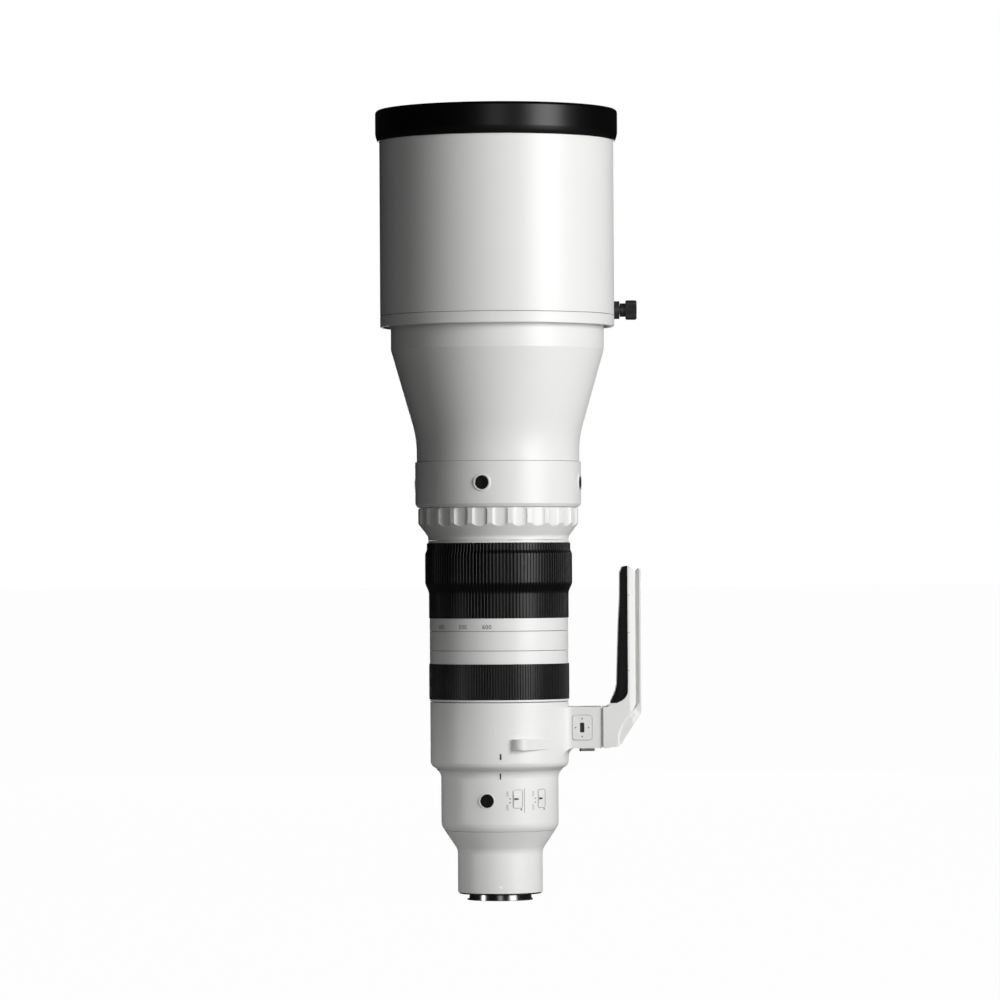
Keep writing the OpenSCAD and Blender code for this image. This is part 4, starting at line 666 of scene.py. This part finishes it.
left = side_frame(180, 129.6)
head = knob_mesh(8.5, 11, left @ Matrix.Translation((0, 0, 57.2 * MM)))
edge_normals(piece("collar_knob_head", head, "collar_knob", "black_plastic", ("collar_knob",)))
boss = spin([(3.1, 50), (9.2, 50), (9.2, 56.9, 0.5), (3.1, 56.9)], left, 72)
piece("knob_boss", boss, "collar", "white_paint")
shank = spin([(0, 48.9), (3, 48.9), (3, 58), (0, 58)], left, 32)
piece("collar_knob_shank", shank, "collar_knob", "black_plastic")

# Focus ring, index ring and zoom ring
BAND_R, RING_IN, FOCUS_IN, ZOOM_IN, ZOOM_TOP_R = 54.4, 51.3, 45.8, 48.05, 55.3
# Heights of the two grips, the seat under them and their own inner radius
FOCUS_GRIP, ZOOM_GRIP = (152.6, 180.4), (216.1, 275.0)
SEAT_R, GRIP_IN = 53.2, 53.25
focus_line = [(FOCUS_IN, FOCUS + 1), (RING_IN, FOCUS + 1), (RING_IN, FOCUS + GAP), (BAND_R, FOCUS + GAP, 0.3),
              (BAND_R, FOCUS_GRIP[0], 0.2), (SEAT_R, FOCUS_GRIP[0]), (SEAT_R, FOCUS_GRIP[1]),
              (BAND_R, FOCUS_GRIP[1], 0.2), (BAND_R, INDEX - GAP, 0.3), (RING_IN, INDEX - GAP),
              (RING_IN, INDEX - 1), (FOCUS_IN, INDEX - 1), (FOCUS_IN, INDEX - 4), (RING_IN, INDEX - 4),
              (RING_IN, FOCUS + 4), (FOCUS_IN, FOCUS + 4)]
lathe("focus_sleeve", focus_line, "focus_ring", "white_paint", "focus_ring")
index_line = [(INNER_R, INDEX + 6), (RING_IN, INDEX + 6), (RING_IN, INDEX + GAP), (BAND_R, INDEX + GAP, 0.3),
              (BAND_R, ZOOM - GAP, 0.3), (RING_IN, ZOOM - GAP), (RING_IN, INDEX + 9), (INNER_R, INDEX + 9)]
lathe("index_shell", index_line, "barrel", "white_paint", "index_ring")
zoom_line = [(ZOOM_IN, ZOOM + 4), (ZOOM_IN, ZOOM + 2), (RING_IN, ZOOM + 2), (RING_IN, ZOOM + GAP),
             (BAND_R, ZOOM + GAP, 0.3), (BAND_R, ZOOM_GRIP[0], 0.2), (SEAT_R, ZOOM_GRIP[0]),
             (SEAT_R, ZOOM_GRIP[1]), (ZOOM_TOP_R, ZOOM_GRIP[1], 0.2), (ZOOM_TOP_R, FUNCTION - GAP, 0.3),
             (RING_IN, FUNCTION - GAP), (RING_IN, FUNCTION - 6), (ZOOM_IN, FUNCTION - 6),
             (ZOOM_IN, FUNCTION - 9), (RING_IN, FUNCTION - 9), (RING_IN, ZOOM + 4)]
lathe("zoom_sleeve", zoom_line, "zoom", "white_paint", "zoom_ring")
for text, angle in (("600", -10), ("500", -31.3), ("400", -55.4), ("300", -88)):
    label(text, 4.6, angle, ZOOM + 3.15, BAND_R, "zoom", INK_AND_HOLE_SHADE, "white_paint")


RIB_DEPTH = 0.6


def ribbed(name, count, line, body, node):
    """A grip: straight ribs with rounded tops on a line of radius and height."""
    profile = ((0.0, 0.0), (0.14, 0.02), (0.25, 0.16), (0.31, 0.6), (0.36, 1.0), (0.64, 1.0), (0.69, 0.6),
               (0.75, 0.16), (0.86, 0.02))
    per = len(profile)
    n = count * per
    verts, faces = [], []
    rows = [(GRIP_IN, line[0][1])] + line + [(GRIP_IN, line[-1][1])]
    for k, (r, z) in enumerate(rows):
        depth = RIB_DEPTH if 0 < k < len(rows) - 1 else 0
        for i in range(n):
            t, d = profile[i % per]
            a = 2 * math.pi * (i // per + t) / count
            rr = r - depth * d
            verts.append((rr * math.cos(a), rr * math.sin(a), z))
    for k in range(len(rows)):
        faces += band(k, (k + 1) % len(rows), n)
    edge_normals(piece(name, raw_mesh("ribs", verts, faces), body, "black_rubber", (node,)), 50)


def swell(z0, z1, r0, r1):
    """A soft change of radius between two heights."""
    n = 8
    return [(r0 + (r1 - r0) * (0.5 - 0.5 * math.cos(math.pi * i / n)), z0 + (z1 - z0) * i / n)
            for i in range(n + 1)]


low, high = FOCUS_GRIP
ribbed("focus_rubber", 160, [(54.7, low), (55.05, low + 0.3), (55.05, high - 0.3), (54.7, high)],
       "focus_ring", "focus_grip")
low, high = ZOOM_GRIP
waist, top, shoulder = 54.9, 57.8, 56.4
ribbed("zoom_rubber", 130, [(54.6, low), (waist, low + 0.3)] + swell(235.0, 244.5, waist, top)
       + swell(265.5, 270.4, top, shoulder) + [(shoulder, high - 0.3), (56.1, high)], "zoom", "zoom_grip")

# Function ring with its scallops
SCALLOP_LOW, SCALLOP_TOP = FUNCTION + GAP, BUTTON - GAP
SCALLOPS, SCALLOP_PHASE, SCALLOP_R = 25, 1.2, 63.0
# A scallop's floor: its radius, the radius of its curved sides and half of its flat part
FLOOR_R, SIDE_R, FLAT = 61.4, 6.0, 2.2
slant_low, slant_high = (56.5, 281.6), (62.6, 289.7)
ring_line = [(ZOOM_TOP_R, SCALLOP_LOW), (ZOOM_TOP_R, 279.1), (55.45, 280.0), (55.9, 280.9), slant_low]
ring_line += [tuple(a + (b - a) * i / 8 for a, b in zip(slant_low, slant_high)) for i in range(1, 9)]
ring_line += [(62.85, 290.1), (62.97, 290.6), (SCALLOP_R, 291.1), (SCALLOP_R, 296), (SCALLOP_R, 301.1),
              (62.8, 301.6), (61.9, SCALLOP_TOP)]


def scallop_point(x):
    """Angle and radius of the scallop's floor at a distance across from its middle."""
    out = max(abs(x) - FLAT, 0)
    y = FLOOR_R + SIDE_R - math.sqrt(SIDE_R ** 2 - out ** 2)
    return math.degrees(math.atan2(x, y)), math.hypot(x, y)


def scallop_reach(r):
    """Distance across at which the scallop's floor comes out of a circle of radius r."""
    low, high = 0.0, FLAT + SIDE_R * 0.98
    if r <= FLOOR_R:
        return 0.01
    for _ in range(30):
        mid = (low + high) / 2
        low, high = (mid, high) if scallop_point(mid)[1] < r else (low, mid)
    return low


def scalloped_ring():
    """Each scallop has the same number of points in it and on the land beside it, at every height."""
    inside, land = 18, 4
    bore, half_scallop = 53.1, 5.7
    pitch = 360 / SCALLOPS
    verts, faces = [], []
    n = SCALLOPS * (inside + land)
    for r, z in ring_line:
        reach = scallop_reach(r)
        half = scallop_point(reach)[0]
        for s in range(SCALLOPS):
            centre = SCALLOP_PHASE + pitch * s
            for i in range(inside):
                d, cut = scallop_point(reach * math.sin(rad(-90 + 180 * i / (inside - 1))))
                a = rad(centre + d)
                verts.append((min(r, cut) * math.sin(a), -min(r, cut) * math.cos(a), z))
            for i in range(land):
                a = rad(centre + half + (pitch - 2 * half) * (i + 1) / (land + 1))
                verts.append((r * math.sin(a), -r * math.cos(a), z))
    for z in (SCALLOP_TOP, SCALLOP_LOW):
        for i in range(n):
            a = rad(SCALLOP_PHASE + pitch * (i + 0.5) / (inside + land) - half_scallop)
            verts.append((bore * math.sin(a), -bore * math.cos(a), z))
    rows = len(ring_line) + 2
    for k in range(rows):
        faces += band(k, (k + 1) % rows, n)
    mesh = raw_mesh("scallops", verts, faces, merge=False)
    polar_normals(mesh, 20)
    return mesh


piece("scallop_ring", scalloped_ring(), "function_ring", "white_paint", ("function_ring",))

# Button barrel with its hold buttons
HOLD_Z, BUTTON_R, BUTTON_IN, BUTTON_FOOT = 321.8, 65.2, 62.7, 50.8
HOLD_ANGLES = {f"hold_button_{i + 1}": -11.2 + 90 * i for i in range(4)}
holes = [spin([(0, 58), (CAP_HOLE, 58), (CAP_HOLE, 70), (0, 70)], side_frame(a, HOLD_Z), 72)
         for a in HOLD_ANGLES.values()]
lathe("button_shell", [(BUTTON_FOOT, 279), (52.8, 279), (52.8, BUTTON + GAP), (63.3, BUTTON + GAP, 0.3),
      (BUTTON_R, BUTTON + 2.8, 0.5), (BUTTON_R, FRONT - GAP, 0.6), (BUTTON_IN, FRONT - GAP),
      (BUTTON_IN, BUTTON + 3), (BUTTON_FOOT, BUTTON + 3)], "barrel", "white_paint", "button_barrel", holes)
for name, angle in HOLD_ANGLES.items():
    place = side_frame(angle, HOLD_Z)
    rim = spin([(CAP_HOLE, 62.9), (7.15, 62.9), (7.15, 65.35, 0.2), (6.5, 65.75, 0.3),
                (CAP_HOLE, 65.75, 0.15)], place, 72)
    piece(name + "_rim", rim, "barrel", "white_paint")
    cap = spin([(0, 61), (CAP_R, 61), (CAP_R, 65.55, 0.35), (3.8, 65.55, 0.8), (0, 65.2)], place, 72)
    piece(name + "_cap", cap, name, "button_plastic", (name,))

# Front barrel
FRONT_R, FRONT_IN, FRONT_LOW_R = 83.7, 81.2, 63.9
FLARE, FLARE_LOW, FLARE_HIGH = 80, FRONT + 7.5, 426.7
dr, h = FRONT_R - FRONT_LOW_R, FLARE_HIGH - FLARE_LOW
flare_a = math.degrees(math.atan2(h, FLARE - dr) - math.acos(FLARE / math.hypot(FLARE - dr, h)))
flare_out = arc(FRONT_LOW_R + FLARE, FLARE_LOW, FLARE, 180, 180 - flare_a, 24)
flare_in = [(r - 2.5, z) for r, z in reversed(flare_out)]
lathe("front_shell", [(61.4, FRONT + 0.1), (FRONT_LOW_R, FRONT + 0.1, 0.3)] + flare_out
      + [(FRONT_R, FLARE_HIGH, 3), (FRONT_R, RIM, 0.8), (FRONT_IN, RIM, 0.3), (FRONT_IN, 426.0)] + flare_in,
      "barrel", "white_paint", "front_barrel", limit=30)
lathe("front_seam", [(62, FRONT - 0.3), (63.7, FRONT - 0.3), (63.7, FRONT + 0.25), (62, FRONT + 0.25)],
      "barrel", "white_paint", mat=SHADOW)
lathe("front_retainer", [(76, 452), (81.15, 452), (81.15, RIM - 1, 0.2), (80, RIM - 1, 0.2), (79.4, 464.5),
      (78.9, 461.5), (78.1, 460), (77.7, 457.5), (76.9, 455.5), (76, 453.5, 0.2)],
      "barrel", "black_metal", "front_ring")


def dome(r, z, b):
    """A lens face from its rim of radius r at height z to its middle, which stands b higher."""
    n = 20
    f = (r * r + b * b) / (2 * abs(b))
    return [(r * (1 - i / n), z + math.copysign(abs(b) - f + math.sqrt(f * f - (r * (1 - i / n)) ** 2), b))
            for i in range(n + 1)]


GLASS_R = 78.5
lens = list(reversed(dome(GLASS_R, 441, 4))) + dome(GLASS_R, 451.3, 9.5)
lathe("front_element", [(max(r, 0), z) for r, z in lens], "barrel", "lens_glass", "front_lens")
lathe("front_element_edge", [(77.9, 441.8), (78.45, 441.8), (78.45, 450.9), (77.9, 450.9)],
      "barrel", "black_metal")

# Hood
HOOD_TOP, HOOD_R, HOOD_IN, TUBE_TOP = 615.0, 92.0, 90.0, 612
HOOD_SEAM, BUMPER_LOW = 453.5, 590.5
# The lining's outer radius, its clamping ring's bore and the height where the lining ends
LINING_R, CLAMP_R, LINING_TOP = 89.95, 84.0, 606
lathe("hood_shell", [(HOOD_IN, HOOD, 0.3), (HOOD_R, HOOD, 1.6), (HOOD_R, HOOD_SEAM - 0.3, 0.15),
      (91.7, HOOD_SEAM - 0.15), (91.7, HOOD_SEAM + 0.15), (HOOD_R, HOOD_SEAM + 0.3, 0.15), (HOOD_R, TUBE_TOP),
      (HOOD_IN, TUBE_TOP)], "hood", "white_paint", "hood_tube")
lathe("hood_seam", [(91.0, HOOD_SEAM - 0.2), (91.74, HOOD_SEAM - 0.2), (91.74, HOOD_SEAM + 0.2),
      (91.0, HOOD_SEAM + 0.2)], "hood", "white_paint", mat=SHADOW)
lathe("hood_rubber", [(92.05, BUMPER_LOW, 0.1), (93.2, BUMPER_LOW, 0.2), (94.0, 592), (94.7, 594.1),
      (95.2, 596.7, 3), (95.2, HOOD_TOP, 2.6), (88.5, HOOD_TOP, 0.5), (88, 614.4), (88, LINING_TOP),
      (LINING_R, LINING_TOP), (LINING_R, TUBE_TOP), (92.05, TUBE_TOP)], "hood", "black_rubber", "hood_bumper")
lathe("hood_inside", [(CLAMP_R, HOOD + 2.2, 0.3), (LINING_R, HOOD + 2.2, 0.2), (LINING_R, LINING_TOP),
      (88.75, LINING_TOP), (88.75, 470), (81.7, 470, 0.3), (81.7, RIM + 0.15), (86.2, RIM + 0.15),
      (86.2, HOOD + 18.2), (CLAMP_R, HOOD + 18.2, 0.3)], "hood", "black_plastic", "hood_lining")
screw = side_frame(90, 457.5)
boss = spin([(3.1, 86), (7, 86), (7, 96.1, 0.4), (3.1, 96.1, 0.2)], screw, 72)
piece("screw_boss", boss, "hood", "black_plastic")
neck = spin([(0, 84.3), (3, 84.3), (3, 96.4), (5.3, 96.4, 0.3), (5.3, 101), (0, 101)], screw, 64)
piece("screw_neck", neck, "hood_screw", "black_plastic")
head = knob_mesh(7.7, 8.8, screw @ Matrix.Translation((0, 0, 100.8 * MM)), 30, 0.45, 0.9)
edge_normals(piece("screw_head", head, "hood_screw", "black_plastic", ("hood_screw",)))

# Drop-in filter holder, whose cover closes the window on the far side
cover = carve(turn([(23, 7.5), (TAIL_R, 7.5), (TAIL_R, 16.1), (23, 16.1)]),
              [box_mesh(-23.6, 23.6, 15, 45, 0, 40)], "INTERSECT")
soften(piece("filter_cover", cover, "filter", "black_plastic", ("filter_holder",)), 0.2, 2)
HOLDER_R, HOLDER_LOW, HOLDER_TOP = 22.5, 7.8, 15.8
slab = turn([(0, HOLDER_LOW), (HOLDER_R, HOLDER_LOW), (HOLDER_R, HOLDER_TOP), (0, HOLDER_TOP)], 96)
slab = carve(slab, [box_mesh(-HOLDER_R, HOLDER_R, 0, 27.9, HOLDER_LOW, HOLDER_TOP)], "UNION")
opening = turn([(0, 6), (18.3, 6), (18.3, 17), (0, 17)], 96)
step = turn([(0, 9.8), (19.55, 9.8), (19.55, 17), (0, 17)], 96)
slab = carve(slab, [opening, step])
piece("filter_slab", slab, "filter", "black_plastic")
soften(piece("filter_lip", box_mesh(-9, 9, 30.3, 35.7, 10.8, 12.8), "filter", "black_plastic"), 0.4)

# Floor: white to the camera, and grey to the light
floor = bpy.data.meshes.new("floor")
FLOOR_Z = -0.0052
corners = [(-30, -12, FLOOR_Z), (30, -12, FLOOR_Z), (30, 60, FLOOR_Z), (-30, 60, FLOOR_Z)]
floor.from_pydata(corners, [], [(0, 1, 2, 3)])
floor_obj = bpy.data.objects.new("floor", floor)
bpy.context.scene.collection.objects.link(floor_obj)
floor_mat = material("floor", (0.36, 0.36, 0.36), 0.9, spec=0.1)
tree = floor_mat.node_tree
shader = tree.nodes["Principled BSDF"]
glow = tree.nodes.new("ShaderNodeEmission")
glow.inputs["Strength"].default_value = 1.0
paths = tree.nodes.new("ShaderNodeLightPath")
mix = tree.nodes.new("ShaderNodeMixShader")
scale = tree.nodes.new("ShaderNodeMath")
scale.operation = "MULTIPLY"
scale.inputs[1].default_value = 0.985
tree.links.new(paths.outputs["Is Camera Ray"], scale.inputs[0])
tree.links.new(scale.outputs[0], mix.inputs[0])
tree.links.new(shader.outputs[0], mix.inputs[1])
tree.links.new(glow.outputs[0], mix.inputs[2])
tree.links.new(mix.outputs[0], tree.nodes["Material Output"].inputs["Surface"])
floor.materials.append(floor_mat)

# World: white to the camera, and nearly black as light
world = bpy.data.worlds.new("studio")
bpy.context.scene.world = world
world.use_nodes = True
tree = world.node_tree
bright = tree.nodes["Background"]
bright.inputs["Color"].default_value = (1, 1, 1, 1)
bright.inputs["Strength"].default_value = 1.0
dim = tree.nodes.new("ShaderNodeBackground")
dim.inputs["Color"].default_value = (0.93, 1, 1, 1)
dim.inputs["Strength"].default_value = 0.014
paths = tree.nodes.new("ShaderNodeLightPath")
mix = tree.nodes.new("ShaderNodeMixShader")
tree.links.new(paths.outputs["Is Camera Ray"], mix.inputs[0])
tree.links.new(dim.outputs[0], mix.inputs[1])
tree.links.new(bright.outputs[0], mix.inputs[2])
tree.links.new(mix.outputs[0], tree.nodes["World Output"].inputs["Surface"])


# Lights and camera, in metres and watts
def softbox(name, azimuth, distance, z, width, height, power, aim=(0, 0, 0.3), spread=180):
    """A soft light at an azimuth counted from the camera's side towards the foot."""
    light = bpy.data.lights.new(name, "AREA")
    light.shape = "RECTANGLE"
    light.size = width
    light.size_y = height
    light.energy = power
    light.spread = rad(spread)
    obj = bpy.data.objects.new(name, light)
    bpy.context.scene.collection.objects.link(obj)
    a = rad(azimuth)
    obj.location = (distance * math.sin(a), -distance * math.cos(a), z)
    obj.rotation_euler = (Vector(aim) - obj.location).to_track_quat("-Z", "Y").to_euler()


softbox("key", 48, 2.6, 0.45, 1.2, 2.2, 90)
softbox("front", 0, 2.6, 0.45, 0.7, 2.2, 11)
softbox("back", 180, 2.6, 0.15, 1.0, 0.7, 9)
softbox("low_left", -66, 1.2, 0.1, 0.4, 0.15, 0.06, aim=(0, 0, 0.045), spread=19)

view = bpy.data.cameras.new("view")
view.lens = 201.5
view.sensor_width = 36
view.clip_end = 100
camera = bpy.data.objects.new("view", view)
bpy.context.scene.collection.objects.link(camera)
eye = Vector((0.0014, -4.4, 0.2583))
aim = Vector((0.0014, 0, 0.3087))
camera.location = eye
turn_view = (aim - eye).to_track_quat("-Z", "Y").to_matrix().to_4x4()
camera.rotation_euler = (turn_view @ Matrix.Rotation(rad(-0.33), 4, "Z")).to_euler()
bpy.context.scene.camera = camera
bpy.context.scene.view_settings.view_transform = "Standard"
